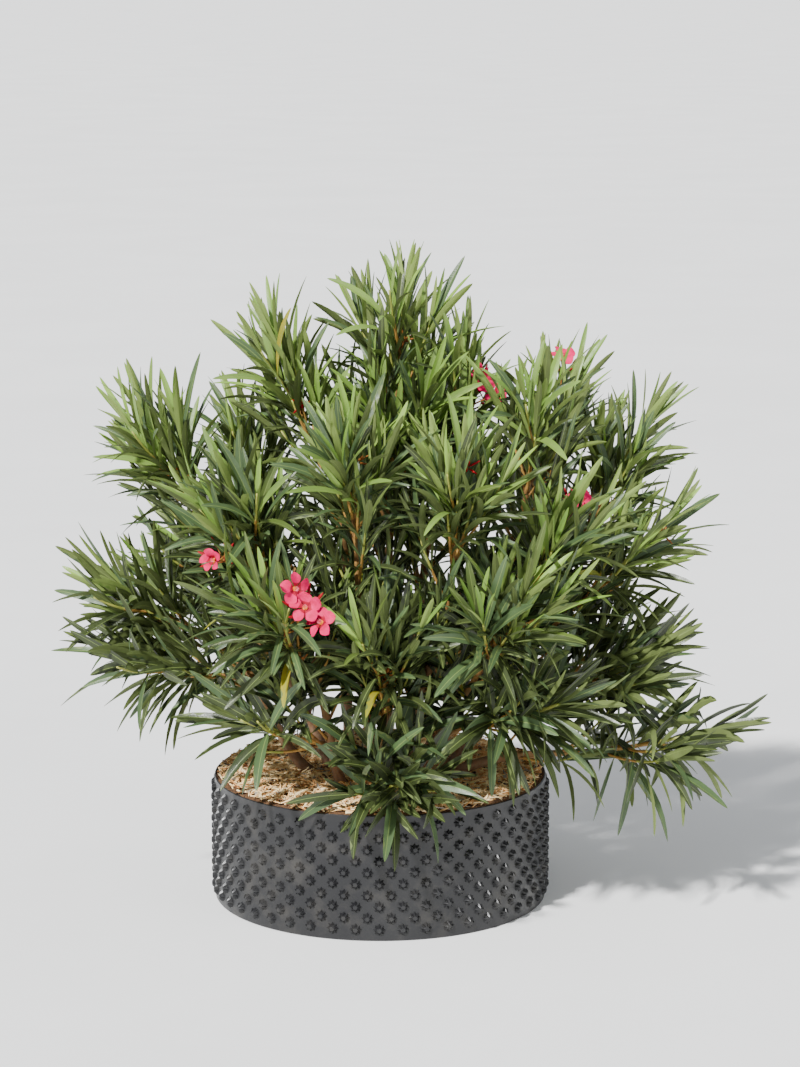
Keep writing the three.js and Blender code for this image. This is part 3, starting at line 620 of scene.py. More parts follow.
# Oleander bark: smooth and dull, brown with grey patches on old wood. How old it is at a place
# comes from the attribute "age", 1 at a cane's foot and 0 where the green wood starts.
bark, shader = new_material("oleander_bark", {"Roughness": 0.78})
age = add_node(bark, "ShaderNodeAttribute", {}, attribute_name="age").outputs["Fac"]
fleck = mottle(bark, 0.006, detail=6.0)
old_bark = blend(bark, mottle(bark, 0.03), "#6e4a30", "#957058")
old_bark = blend(bark, span(bark, fleck, 0.0, 0.55), old_bark, "#8f7f6b")
young_bark = blend(bark, mottle(bark, 0.018), "#8f7038", "#a67636")
connect(bark, shader, {"Base Color": blend(bark, age, young_bark, old_bark)})
relief(bark, shader, fleck, depth=0.0007, strength=0.7)

for order, (name, limb) in enumerate(limbs.items()):
    is_cane = name in CANES
    node = f"cane_{name}" if is_cane else f"bough_{name}"
    shares = np.linspace(0, 1, int(length_of(limb["curve"]) / LIMB_STEP))
    radii = bark_radii(limb, shares, LIMB_PHASE * order)
    points, faces = loft(sweep(limb["curve"], shares, radii)[None])
    piece = make_piece(f"{node}_bark", points, faces, [bark])
    oldest = 1.0 if is_cane else 1.0 - SIDES[name][1]
    ages = np.repeat(oldest * (1 - shares) ** AGE_FALL, LIMB_SIDES).astype(np.float32)
    piece.data.attributes.new("age", "FLOAT", "POINT").data.foreach_set("value", ages)
    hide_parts(node)


# ---- Stems and twigs --------------------------------------------------------------------------
# The season's growth at the end of each limb: one stem a mass, twigs that fork from it at the
# golden angle and curl upwards, and short inner shoots along the limb's upper half. Young wood
# is orange brown below and yellow green towards its tip, with a slight knee at each whorl.

SPACE_RADIUS = 0.182  # of a mass's own space
SITE_SHARE = 0.6  # where along its stem that space is centred
CELL_GAP = 0.0015  # between the spaces of two masses
LIMB_CLEARANCE = 0.0015
PARALLEL = 1e-15  # two stretches whose sines and lengths multiply to less count as parallel
CUSP_HEIGHT = 0.008  # to the source's points
POT_CLEARANCE = 0.009
POT_REACH = POT_RADIUS + CUSP_HEIGHT + POT_CLEARANCE
POT_CHECKS = 13  # places along a stretch where its distance from the pot is looked at
SOURCE_STEPS = {"cane": 5, "bough": 4, "stem": 3}  # straight pieces of each in the source
SOURCE_STEM_RADII = (0.0042, 0.0018)
SOURCE_TWIG_RADIUS = 0.0018
SOURCE_TWIGS = 2
TWIG_LENGTH, TWIG_CURL, TWIG_SPREAD = 0.125, 0.55, 42  # spread in degrees from the stem
TWIG_SHORTEST, TWIG_SIZE_RANGE = 0.8, 0.4  # as shares of that length
TWIG_FROM, TWIG_RANGE = 0.2, 0.5  # the part of the stem that the twigs are spread over
FORK_SCATTER = 0.08
TURN_SCATTER = 40
TWIG_TRIES = 14
MORE_TWIGS = 7
MORE_TRIES = 3 * MORE_TWIGS
TOP_LEVEL, TOP_TWIGS = 0.85, 4  # the highest masses are more open
OTHER_TWIGS = {  # the masses that are more open or fuller than most
    "right_hanging": 2, "left_bottom": 3, "left_low": 4, "left_outer": 6, "right_mid": 4,
    "right_top_outer": 4, "right_top_back": 4, "right_top_front": 5, "right_inner": 4,
    "centre_left": 9, "centre_right": 9, "front_mid": 9,
}
MORE_FROM, MORE_RANGE, MORE_SCATTER = 0.04, 0.66, 0.05
MORE_SPREAD = (14, 34)
MORE_LENGTH = (0.075, 0.150)
MORE_RADIUS = 0.0015
INNER_STEP, INNER_FROM = 0.036, 0.36  # apart, and from this share of the limb
INNER_LENGTH, INNER_SIZES = 0.12, (0.7, 1.3)
INNER_SPREAD = 34
INNER_BREADTH = 0.02  # with its leaves, over the mulch
INNER_REACH = 0.5  # from the pot's axis, at most
MASS_TURN, INNER_TURN = 60, 50  # degrees from one mass's twigs and inner shoots to the next one's
GOLDEN_ANGLE = 137.5
SEED = 4100
STEM_RADII = (0.0042, 0.0022)
TWIG_RADII = (0.0026, 0.0014)
SHOOT_SIDES, SHOOT_LEAST = 8, 5
SHOOT_STEP = 0.007
WHORL_SPACING = 0.019
KNEE_SWELL, KNEE_WIDTH = 0.22, 0.2  # shares of the radius and of the spacing of whorls
GREEN_FROM, ORANGE_FROM = 0.5, 0.12  # how far along a shoot its wood turns green and orange


def random_stream(seed):
    """The source's seeded numbers from 0 to 1 (mulberry32), so that its twigs grow here too."""
    state = seed
    while True:
        state = (state + 0x6D2B79F5) & 0xFFFFFFFF
        mixed = ((state ^ state >> 15) * (1 | state)) & 0xFFFFFFFF
        mixed = (mixed + (mixed ^ mixed >> 7) * (61 | mixed) ^ mixed) & 0xFFFFFFFF
        yield (mixed ^ mixed >> 14) / 2 ** 32


def leaving(axis, pitch, turn):
    """Directions that leave an axis at a pitch, turned round it, both in degrees: axis cos p +
    sin p (across cos t + other sin t), where across is square to the axis and to Z or X."""
    axis = np.atleast_2d(axis)
    guide = np.where(np.abs(axis[:, 2:]) < 0.9, UP, np.array([1.0, 0.0, 0.0]))
    across = unit(np.cross(axis, guide))
    other = np.cross(axis, across)
    pitch, turn = (np.radians(np.atleast_1d(a))[:, None] for a in (pitch, turn))
    return axis * np.cos(pitch) + np.sin(pitch) * (across * np.cos(turn) + other * np.sin(turn))


sites = {name: along_curve(curve, SITE_SHARE)[0] for name, curve in stems.items()}

# The wood that twigs keep off, as the straight rods that it has in the source. A rod's owner is
# the mass of its stem, and a limb's rods belong to none.
rod_parts = [(f"limb {name}", limb["curve"], SOURCE_STEPS["cane" if name in CANES else "bough"],
              limb) for name, limb in limbs.items()]
rod_parts += [(name, curve, SOURCE_STEPS["stem"], None) for name, curve in stems.items()]
rod_owner, rod_from, rod_to, rod_radius = [], [], [], []
for owner, curve, steps, limb in rod_parts:
    joints = along_curve(curve, np.arange(steps + 1) / steps)
    shares = np.arange(steps) / steps
    rod_owner += [owner] * steps
    rod_from.append(joints[:-1])
    rod_to.append(joints[1:])
    rod_radius.append(limb_radius(limb, shares) if limb
                      else np.interp(shares, (0, 1), SOURCE_STEM_RADII))
rod_owner = np.array(rod_owner)
rod_from, rod_to, rod_radius = (np.concatenate(part) for part in (rod_from, rod_to, rod_radius))


def gap_to_rods(start, end):
    """The shortest distance from one straight stretch to each rod: the pair of places, clamped
    to both stretches, where the line between them is square to both."""
    u, v, w = end - start, rod_to - rod_from, start - rod_from
    uu, uv, vv = u @ u, v @ u, (v * v).sum(axis=1)
    uw, vw = w @ u, (v * w).sum(axis=1)
    cross = uu * vv - uv * uv
    place = np.clip((uv * vw - vv * uw) / np.maximum(cross, PARALLEL), 0, 1)
    s = np.where(cross > PARALLEL, place, 0)
    t = np.clip((uv * s + vw) / vv, 0, 1)
    s = np.clip((uv * t - uw) / uu, 0, 1)
    return np.linalg.norm(w + u * s[:, None] - v * t[:, None], axis=1)


def in_space(point, name):
    """Whether a point is within reach of a mass's site, and nearer to it than to any other's."""
    here = sites[name]
    if np.linalg.norm(point - here) > SPACE_RADIUS:
        return False
    return all((point - (site + here) / 2) @ unit(site - here) <= -CELL_GAP / 2
               for other, site in sites.items() if other != name)


def off_pot(start, end, thickness):
    """Whether a straight stretch keeps off the pot and the mulch."""
    points = start + (end - start) * np.linspace(0, 1, POT_CHECKS)[:, None]
    low = points[:, 2] < FILL_TOP_LEVEL + (POT_CLEARANCE + thickness) / 2
    return not np.any(low & (np.hypot(points[:, 0], points[:, 1]) < POT_REACH))


def fits(start, end, thickness, name):
    """Whether a stretch of twig stays in its mass's space, off the pot and off other wood."""
    if not in_space(end, name) or not off_pot(start, end, thickness):
        return False
    close = gap_to_rods(start, end) < rod_radius + thickness + LIMB_CLEARANCE
    return not np.any(close & (rod_owner != name))


def on_axis(curve, steps, share):
    """A place on the straight lines between a coarse tube's rings."""
    step = min(int(share * steps), steps - 1)
    low, high = along_curve(curve, [step / steps, (step + 1) / steps])
    return low + (high - low) * (share * steps - step)


def twig_curve(base, start, length):
    """A twig that sets out in one direction and curls upwards half-way."""
    elbow = base + start * length / 2
    return [base, elbow, elbow + unit(start + UP * TWIG_CURL) * length / 2]


def source_twigs(name, stream):
    """The two twigs that the mass has in the source, by the same rule and random numbers."""
    stem, twigs, radius = stems[name], [], SOURCE_TWIG_RADIUS
    for tries in range(TWIG_TRIES):
        place = TWIG_FROM + TWIG_RANGE * (tries % SOURCE_TWIGS) / SOURCE_TWIGS
        share = place + FORK_SCATTER * next(stream)
        turn = GOLDEN_ANGLE * tries + TURN_SCATTER * next(stream)
        length = TWIG_LENGTH * (TWIG_SHORTEST + TWIG_SIZE_RANGE * next(stream))
        start = leaving(tangents(stem, share), TWIG_SPREAD, turn)[0]
        base, elbow, tip = twig_curve(on_axis(stem, SOURCE_STEPS["stem"], share), start, length)
        inside = in_space(base, name) and in_space(elbow, name)
        if inside and fits(base, elbow, radius, name) and fits(elbow, tip, radius, name):
            twigs.append([base, elbow, tip])
        if len(twigs) == SOURCE_TWIGS:
            break
    return twigs


def finer_twigs(name, order):
    """More twigs by the same rule, a little shorter, that fork between the source's."""
    stem, twigs = stems[name], []
    most = OTHER_TWIGS.get(name, MORE_TWIGS if stem[2][2] < TOP_LEVEL else TOP_TWIGS)
    for tries in range(MORE_TRIES):
        share = MORE_FROM + MORE_RANGE * tries / MORE_TRIES + MORE_SCATTER * random.random()
        turn = GOLDEN_ANGLE * (tries + 0.5) + TURN_SCATTER * random.random() + MASS_TURN * order
        length = random.uniform(*MORE_LENGTH)
        start = leaving(tangents(stem, share), random.uniform(*MORE_SPREAD), turn)[0]
        base, elbow, tip = twig_curve(along_curve(stem, share)[0], start, length)
        if fits(base, elbow, MORE_RADIUS, name) and fits(elbow, tip, MORE_RADIUS, name):
            twigs.append([base, elbow, tip])
        if len(twigs) == most:
            break
    return twigs


def inner_shoots(name, order):
    """Short leafy shoots along the upper part of a mass's own limb."""
    if name not in limbs:
        return []
    curve = limbs[name]["curve"]
    length = length_of(curve)
    places = np.arange(INNER_FROM * length, length - INNER_STEP / 2, INNER_STEP) / length
    leafy = []
    for k, share in enumerate(places):
        turn = GOLDEN_ANGLE * k + INNER_TURN * order
        start = leaving(tangents(curve, share), INNER_SPREAD, turn)[0]
        size = INNER_LENGTH * random.uniform(*INNER_SIZES)
        base, elbow, tip = twig_curve(along_curve(curve, share)[0], start, size)
        if off_pot(base, tip, INNER_BREADTH) and np.hypot(tip[0], tip[1]) < INNER_REACH:
            leafy.append([base, elbow, tip])
    return leafy


def shoot_rings(curve, radii, knees=False):
    """The rings of a shoot, which tapers evenly, and where they stand on it, from 0 to 1. With
    knees it swells by a bell shape at each whorl."""
    length = length_of(curve)
    shares = np.linspace(0, 1, max(int(length / SHOOT_STEP), SHOOT_LEAST))
    radius = radii[0] + (radii[1] - radii[0]) * shares
    if knees:
        phase = (shares * length / WHORL_SPACING + 0.5) % 1 - 0.5
        radius = radius * (1 + KNEE_SWELL * np.exp(-(phase / KNEE_WIDTH) ** 2))
    return sweep(curve, shares, np.repeat(radius[:, None], SHOOT_SIDES, axis=1)), shares


def dealt(rings, slots):
    """A loft with its slots: one for the whole of it, or one for each step between rings."""
    count, length, sides = rings.shape[:3]
    slots = np.broadcast_to(slots, length - 1)
    return loft(rings), np.tile(np.repeat(slots, sides), count)


def join_lofts(parts):
    """Lofts put together as one, with a slot for every face: walls, then first and last ends."""
    offsets = np.cumsum([0] + [len(points) for (points, _), _ in parts[:-1]])
    points = np.concatenate([points for (points, _), _ in parts])
    faces, slots = [], []
    for k in range(3):
        for ((_, part), walls), first in zip(parts, offsets):
            faces.append(part[k] + first)
            ends = np.full(len(part[k]), walls[0 if k == 1 else -1])
            slots.append(walls if k == 0 else ends)
    return points, faces, np.concatenate(slots)


def young_wood(name, light, dark, roughness):
    """Smooth young bark: clouded between two near colours, with a slight natural polish."""
    wood, shader = new_material(name, {"Roughness": roughness})
    cloud = mottle(wood, 0.012)
    connect(wood, shader, {"Base Color": blend(wood, cloud, dark, light)})
    relief(wood, shader, mottle(wood, 0.002), depth=0.0003, strength=0.5)
    return wood


shoot_woods = [
    young_wood("ripening_brown_wood", "#98703c", "#77542c", 0.66),
    young_wood("orange_brown_shoot", "#bb9048", "#9a7234", 0.55),
    young_wood("yellow_green_shoot", "#a9a850", "#87903c", 0.48),
]

shoots, shoot_parts = {}, []
for order, name in enumerate(stems):
    twigs = source_twigs(name, random_stream(SEED + order)) + finer_twigs(name, order)
    shoots[name] = [("stem", stems[name])] + [("twig", twig) for twig in twigs]
    shoots[name] += [("inner", shoot) for shoot in inner_shoots(name, order)]
    for kind, curve in shoots[name]:
        radii = STEM_RADII if kind == "stem" else TWIG_RADII
        rings, shares = shoot_rings(curve, radii, knees=True)
        greenness = (shares[:-1] > ORANGE_FROM).astype(int) + (shares[:-1] > GREEN_FROM)
        shoot_parts.append(dealt(rings[None], greenness))

points, faces, slots = join_lofts(shoot_parts)
twigs = make_piece("stems_and_twigs", points, faces, shoot_woods, slots)
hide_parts(*[f"foliage_{name}" for name in stems])


# ---- Leaves -----------------------------------------------------------------------------------
# Leathery lance-shaped leaves in whorls of three. Each has a short yellow-green stalk, a pale
# straight midrib, a blade folded up from it, and a greyer underside. They stand up at a shoot's
# tip and spread and arch over lower down. Each mass's leaves are one piece.

low_corner, high_corner = (np.array(corner) for corner in cad_box)
LEAF_STATIONS = np.array([0, 0.05, 0.13, 0.26, 0.42, 0.58, 0.74, 0.88, 0.965, 1.0])
LEAF_STALK = 0.05
LEAF_LENGTHS = {"stem": (0.130, 0.172), "twig": (0.122, 0.166), "inner": (0.106, 0.148)}
LEAF_FIRST = {"stem": 0.26, "twig": 0.24, "inner": 0.28}  # where on a shoot its lowest whorl is
LEAF_APART = 120  # degrees between the leaves of a whorl
LEAF_TURN_SCATTER, LEAF_PITCH_SCATTER = 14, 6
LEAF_TIP_PITCH = 12  # degrees from the shoot
LEAF_LOW_PITCHES = ((0.25, 0.5, 0.7), (72, 46, 31))  # by the height where a leaf is rooted
LOW_LEAF_LOSS = 0.12  # how much shorter a shoot's lowest leaves are
TIP_LEAF_SIZES = ((0, 0.1, 0.25), (0.68, 0.9, 1.0))  # by how far below its shoot's tip a leaf is
LEAST_RISE = 0.5  # a flatter leaf is cut as if it rose by this share of its length
LEAF_SLENDERNESS = (0.084, 0.104)  # width as a share of the length
LEAF_BREADTHS = ((0.3, 0.55), (1.28, 1.0))  # by the height where a leaf is rooted
LEAF_ARCH, LOW_LEAF_ARCH, ARCH_SCATTER = 0.08, 0.4, (0.4, 1.2)
LEAF_DROOP, DROOP_SCATTER = 0.05, (0.3, 1.2)
LOW_LEAF_DROOPS = ((0.28, 0.5), (1.3, 0.55))  # by the height where a leaf is rooted
HANGING, HANGING_DROOP = "right_hanging", 1.9  # the limb whose leaves hang most
LEAF_TWIST = 0.35  # in radians, from stalk to tip
LEAF_FOLD = 0.42  # how far the edges stand up, as a share of the half width
LEAF_LEAST_WIDTHS = (0.0011, 0.0002)  # half widths of the stalk and of the tip
RIB_WIDTHS, RIB_MOST = (0.0006, 0.00025), 0.7  # half widths, and most as a share of the leaf's
RIB_RISE, KEEL_DEPTHS = 0.0001, (0.0011, 0.0003)  # the midrib's upper and lower side
YOUNG_AND_SUNLIT, SUNLIT, MATURE, BLUISH, OLD_AND_SHADED, YELLOWING, RIB, UNDERSIDE, PALE_UNDERSIDE, STALK = range(10)


def grow(kind, curve):
    """The leaves of one shoot, as arrays: where each is rooted, the way that it points, the way
    that its upper side faces, its length, and how low on the shoot it stands, from 0 at the tip
    to 1. The length is cut where it would pass the plant's top."""
    length = length_of(curve)
    first = LEAF_FIRST[kind]
    whorls = max(int((1 - first) * length / WHORL_SPACING), 2)
    share = np.repeat(np.linspace(first, 1.0, whorls), 3)
    count = len(share)
    turn = np.tile(np.arange(3) * LEAF_APART, whorls)
    turn = turn + np.repeat(np.arange(whorls) * (LEAF_APART // 2), 3)
    turn = turn + random.uniform(-LEAF_TURN_SCATTER, LEAF_TURN_SCATTER, count)
    turn = turn + random.uniform(0, LEAF_APART)
    lowness = (1 - share) / (1 - first)
    root = along_curve(curve, share)
    pitch = LEAF_TIP_PITCH + (np.interp(root[:, 2], *LEAF_LOW_PITCHES) - LEAF_TIP_PITCH) * lowness
    pitch = pitch + random.normal(0, LEAF_PITCH_SCATTER, count)
    size = random.uniform(*LEAF_LENGTHS[kind], count) * (1 - LOW_LEAF_LOSS * lowness)
    size = size * np.interp(lowness, *TIP_LEAF_SIZES)
    axis = tangents(curve, share)
    along = leaving(axis, pitch, turn)
    headroom = high_corner[2] - root[:, 2]
    size = np.minimum(size, headroom / np.maximum(along[:, 2], LEAST_RISE))
    facing = unit(axis - along * (axis * along).sum(axis=1)[:, None])
    return {
        "root": root, "along": along, "facing": facing, "size": size,
        "lowness": lowness, "inner": np.full(count, kind == "inner"),
    }


def gather(batches):
    """The leaves of several shoots as one set of arrays."""
    return {key: np.concatenate([batch[key] for batch in batches]) for key in batches[0]}


def midribs(leaves):
    """Each leaf's line from root to tip, and its sideways and upper directions there. The line's
    direction turns away from the upper side by the leaf's arch times the distance, and towards
    the ground by its droop times the distance to the power 1.5. The sides turn round the line
    by the leaf's twist times the distance."""
    s = LEAF_STATIONS[None, :, None]
    along, facing = leaves["along"][:, None], leaves["facing"][:, None]
    course = unit(along - facing * leaves["arch"][:, None, None] * s
                  - UP * leaves["droop"][:, None, None] * s ** 1.5)
    step = np.diff(LEAF_STATIONS)[None, :, None] * leaves["size"][:, None, None]
    run = np.cumsum((course[:, 1:] + course[:, :-1]) / 2 * step, axis=1)
    line = leaves["root"][:, None] + np.concatenate([np.zeros_like(run[:, :1]), run], axis=1)
    across = unit(np.cross(course, facing))
    above = np.cross(across, course)
    turn = leaves["twist"][:, None, None] * s
    sideways = across * np.cos(turn) + above * np.sin(turn)
    upper = above * np.cos(turn) - across * np.sin(turn)
    return line, sideways, upper


def leaf_rings(leaves):
    """Six points round each station: right edge, the midrib's two sides below, left edge, and
    its two sides above. The half width is that of a long lens, (4q(1-q)) to the power 0.6 for q
    along the blade, and the edges stand above the midrib by the fold times the lens."""
    line, across, above = midribs(leaves)
    q = np.clip((LEAF_STATIONS - LEAF_STALK) / (1 - LEAF_STALK), 0, 1)
    lens = (4 * q * (1 - q)) ** 0.6
    least, rib, keel = (np.interp(q, (0, 1), ends)
                        for ends in (LEAF_LEAST_WIDTHS, RIB_WIDTHS, KEEL_DEPTHS))
    half = np.maximum(leaves["width"][:, None] / 2 * lens, least)
    rib = np.minimum(rib, half * RIB_MOST)
    edge = half * LEAF_FOLD * lens
    below, rise = np.broadcast_to(-keel, half.shape), np.full_like(half, RIB_RISE)
    sideways = np.stack([half, rib, -rib, -half, -rib, rib], axis=-1)
    upwards = np.stack([edge, below, below, edge, rise, rise], axis=-1)
    return (line[:, :, None] + across[:, :, None] * sideways[..., None]
            + above[:, :, None] * upwards[..., None])


# Where the open flowers of the next section stand, since leaves keep out of their faces.
BLOOM_RADIUS = 0.026
BLOOM_SPREAD = 0.034
CLUSTERS = (  # mass, blooms, bearing, reach, height, and how open the blooms are
    ("left_front", 3, 251, 0.350, 0.556, 1.0),
    ("left_mid", 1, 222, 0.350, 0.612, 0.5),
    ("top_right", 2, 358, 0.184, 0.847, 0.9),
    ("right_top_back", 1, 15, 0.312, 0.893, 0.9),
    ("right_inner", 1, 335, 0.352, 0.694, 1.0),
)
BLOOM_FROM = 0.4  # the share of its stem that a cluster faces away from
BLOOM_FRONTING, BLOOM_LIFT = 0.9, 0.1  # how far it turns to the crown's open side, -Y, and up
BLOOM_STEP, BLOOM_TURN, BLOOM_TILT_TURN = 200, 95, -60  # degrees round that direction
BLOOM_TILT, BLOOM_MORE_TILT = 12, 14  # of the first flower, and more for each further one


def bloom_places():
    """Each open flower: its mass, centre, the direction that it faces and how open it is. A
    cluster faces away from its stem and to the open side. Its first flower is at its middle,
    and the others stand round it, each turned by the step and tilted more."""
    places = []
    for mass, blooms, bearing, reach, height, openness in CLUSTERS:
        centre = around(bearing, reach, height)
        outward = unit(centre - along_curve(stems[mass], BLOOM_FROM)[0])
        outward = unit(outward + np.array([0.0, -BLOOM_FRONTING, BLOOM_LIFT]))
        for k in range(blooms):
            turn, tilt = BLOOM_STEP * k, BLOOM_TILT + BLOOM_MORE_TILT * k
            shift = leaving(outward, 90, turn + BLOOM_TURN)[0] * (BLOOM_SPREAD if k else 0)
            facing = leaving(outward, tilt, turn + BLOOM_TILT_TURN)[0]
            places.append((mass, centre + shift, facing, openness))
    return places


WOOD_MARKS, WOOD_GAP = 60, 0.0065  # places on each limb and stem that leaves keep off
OWN_STATIONS = 4  # of a leaf, next to its root, where it may touch its shoot
LEAF_EXTRA_REACH = 0.012
MULCH_HEADROOM = 0.29  # leaves over the mulch keep above this, except the draping ones
DRAPING, DRAPE_HEADROOM = ("front_drape", "right_front_low"), 0.006
BLOOM_CLEARING = BLOOM_RADIUS * 1.15  # leaves keep out of this radius before a flower's face
BLOOM_BEHIND, BLOOM_VIEW = 0.012, 0.16  # how far that reaches behind and before it

open_blooms = bloom_places()
wood_curves = [limb["curve"] for limb in limbs.values()] + list(stems.values())
wood_marks = np.concatenate([along_curve(c, np.linspace(0, 1, WOOD_MARKS)) for c in wood_curves])


def room_for(leaves, name):
    """Which leaves stay in the plant's reach, off the pot and mulch, out of the flowers' faces
    and off all wood beyond their own roots."""
    line = midribs(leaves)[0]
    reach = np.hypot(line[..., 0], line[..., 1])
    least_level = FILL_TOP_LEVEL + DRAPE_HEADROOM if name in DRAPING else MULCH_HEADROOM
    barred = (reach < POT_REACH) & (line[..., 2] < least_level)
    for _, centre, facing, _ in open_blooms:
        ahead = (line - centre) @ facing
        aside = np.linalg.norm(line - centre - ahead[..., None] * facing, axis=-1)
        barred |= (aside < BLOOM_CLEARING) & (ahead > -BLOOM_BEHIND) & (ahead < BLOOM_VIEW)
    outside = (line < low_corner).any(axis=(1, 2)) | (line > high_corner).any(axis=(1, 2))
    far = np.linalg.norm(line[:, -1] - sites[name], axis=-1) > SPACE_RADIUS + LEAF_EXTRA_REACH
    far &= ~leaves["inner"]
    beyond = line[:, OWN_STATIONS:]
    gaps = np.linalg.norm(beyond[:, :, None] - wood_marks, axis=-1).min(axis=(1, 2))
    return ~(barred.any(axis=1) | outside | far | (gaps < WOOD_GAP))


# How the finishes are dealt. Levels are heights where leaves are rooted, lowness runs from 0 at
# a shoot's tip to 1, and shares are of the leaves that stand there.
# Painted sunlight: the share of leaves that take the lighter sunlit green, and the fresh green with
# it, rises with the height where they are rooted.
SUNLIT_LEVELS, SUNLIT_SHARES = (0.45, 0.62, 0.84), (0.0, 0.35, 0.95)
# Painted shade: below this level most leaves take the dark old green.
SHADED_LEVEL = 0.47
MATURE_SHARE = 0.55
SUNLIT_SHARE, SUNLIT_YOUNG_SHARE = 0.8, 0.35
TIP_LOWNESS, TIP_YOUNG_SHARE = 0.16, 0.75
SHADED_OLD_SHARE, SUNLIT_OLD_LOSS = 0.75, 0.85
OLD_LOWNESS, OLD_SHARE, INNER_OLD_AND_SHADED_SHARE = 0.6, 0.55, 0.7
YELLOWING_LOWNESS, YELLOWING_DRAW = 0.5, 0.993


def tones(leaves):
    """Each leaf's blade finish: fresh green near the tips, two mature greens, dark old leaves low on
    their shoots, and now and then a yellowing one. Painted sunlight: a lighter green, and the fresh
    green too, go to more of them the higher they stand. Painted shade: the dark old green goes to
    most leaves rooted below the shaded level, and to more inner ones the less sunlit they stand."""
    draw, low = random.random(len(leaves["size"])), leaves["lowness"]
    height = leaves["root"][:, 2]
    sunlit = np.interp(height, SUNLIT_LEVELS, SUNLIT_SHARES)
    shaded = height < SHADED_LEVEL
    tone = np.where(draw < MATURE_SHARE, MATURE, BLUISH)
    # Painted sunlight: the lighter sunlit green, and the fresh green, go to more leaves the higher
    # they stand.
    tone = np.where(draw < SUNLIT_SHARE * sunlit, SUNLIT, tone)
    young = (low < TIP_LOWNESS) & (draw < TIP_YOUNG_SHARE) & ~shaded
    tone = np.where(young | (draw < SUNLIT_YOUNG_SHARE * sunlit), YOUNG_AND_SUNLIT, tone)
    # Painted shade: leaves rooted low take the dark old green, and inner leaves do so the more the
    # less sunlit their height; real old leaves low on their shoots take it too.
    tone = np.where(shaded & (draw < SHADED_OLD_SHARE), OLD_AND_SHADED, tone)
    dim = 1 - SUNLIT_OLD_LOSS * sunlit
    old = (low > OLD_LOWNESS) & (draw < OLD_SHARE * dim)
    tone = np.where(old | leaves["inner"] & (draw < INNER_OLD_AND_SHADED_SHARE * dim), OLD_AND_SHADED, tone)
    return np.where((low > YELLOWING_LOWNESS) & (draw > YELLOWING_DRAW), YELLOWING, tone)


def blade(name, light, dark, roughness):
    """A leathery leaf's skin: clouded between two greens, waxy, with a fine grain of veins."""
    skin, shader = new_material(name, {"IOR": 1.45})
    cloud = mottle(skin, 0.12, detail=3.0)
    connect(skin, shader, {
        "Base Color": blend(skin, cloud, dark, light),
        "Roughness": span(skin, mottle(skin, 0.01), roughness - 0.06, roughness + 0.08),
    })
    relief(skin, shader, mottle(skin, 0.0022, detail=2.0), depth=0.0003, strength=0.4)
    return skin


# The sunlit skin is painted sunlight, a lighter copy of the leaf green; the young skin stands for
# sunlight too where the tones give it to high leaves.
leaf_skins = [
    blade("young_and_sunlit_leaf_skin", "#80a040", "#648634", 0.42),
    blade("sunlit_leaf_skin", "#738f40", "#5e7834", 0.42),
    blade("mature_leaf_skin", "#55672b", "#425222", 0.42),
    blade("blue_green_leaf_skin", "#4b603a", "#394b2d", 0.40),
    # The old skin is also painted shade, dealt to leaves low down and inside the crown.
    blade("old_and_shaded_leaf_skin", "#3c4625", "#2b341a", 0.33),
    blade("yellowing_leaf_skin", "#9a8c22", "#737a1e", 0.5),
    blade("pale_midrib", "#7c8d4c", "#68783d", 0.45),
    blade("matt_leaf_underside", "#65733e", "#546033", 0.6),
    blade("pale_young_and_sunlit_underside", "#879c50", "#738842", 0.56),
    blade("yellow_green_leaf_stalk", "#879233", "#6b7d27", 0.48),
]

segments = len(LEAF_STATIONS) - 1
for name in stems:
    leaves = gather([grow(kind, curve) for kind, curve in shoots[name]])
    count, height, low = len(leaves["size"]), leaves["root"][:, 2], leaves["lowness"]
    leaves["width"] = leaves["size"] * random.uniform(*LEAF_SLENDERNESS, count)
    leaves["width"] *= np.interp(height, *LEAF_BREADTHS)
    leaves["arch"] = LEAF_ARCH + LOW_LEAF_ARCH * low * random.uniform(*ARCH_SCATTER, count)
    hang = HANGING_DROOP if name == HANGING else np.interp(height, *LOW_LEAF_DROOPS)
    leaves["droop"] = LEAF_DROOP + hang * low * random.uniform(*DROOP_SCATTER, count)
    leaves["twist"] = random.normal(0, LEAF_TWIST, count)
    keep = room_for(leaves, name)
    leaves = {key: value[keep] for key, value in leaves.items()}
    points, faces = loft(leaf_rings(leaves))
    tone = tones(leaves)
    # Leaves with the young or the sunlit green take the pale underside, so it is partly painted
    # sunlight.
    below = np.where(tone <= SUNLIT, PALE_UNDERSIDE, UNDERSIDE)
    rib = np.full(len(tone), RIB)
    slots = np.stack([below, rib, below, tone, rib, tone], axis=-1)
    slots = np.repeat(slots[:, None], segments, axis=1)
    slots[:, 0] = STALK
    ends = np.concatenate([np.full(len(tone), STALK), tone])
    piece = make_piece(f"leaves_{name}", points, faces, leaf_skins,
                       np.concatenate([slots.ravel(), ends]), sharp=38)
    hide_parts(f"foliage_{name}")


# ---- Blossom ----------------------------------------------------------------------------------
# Rose-pink flowers in loose clusters on short stalks: five petals that overlap like a pinwheel
# round a fringed throat, slender dark red buds beside them, and the dry brown bracts of spent
# clusters.

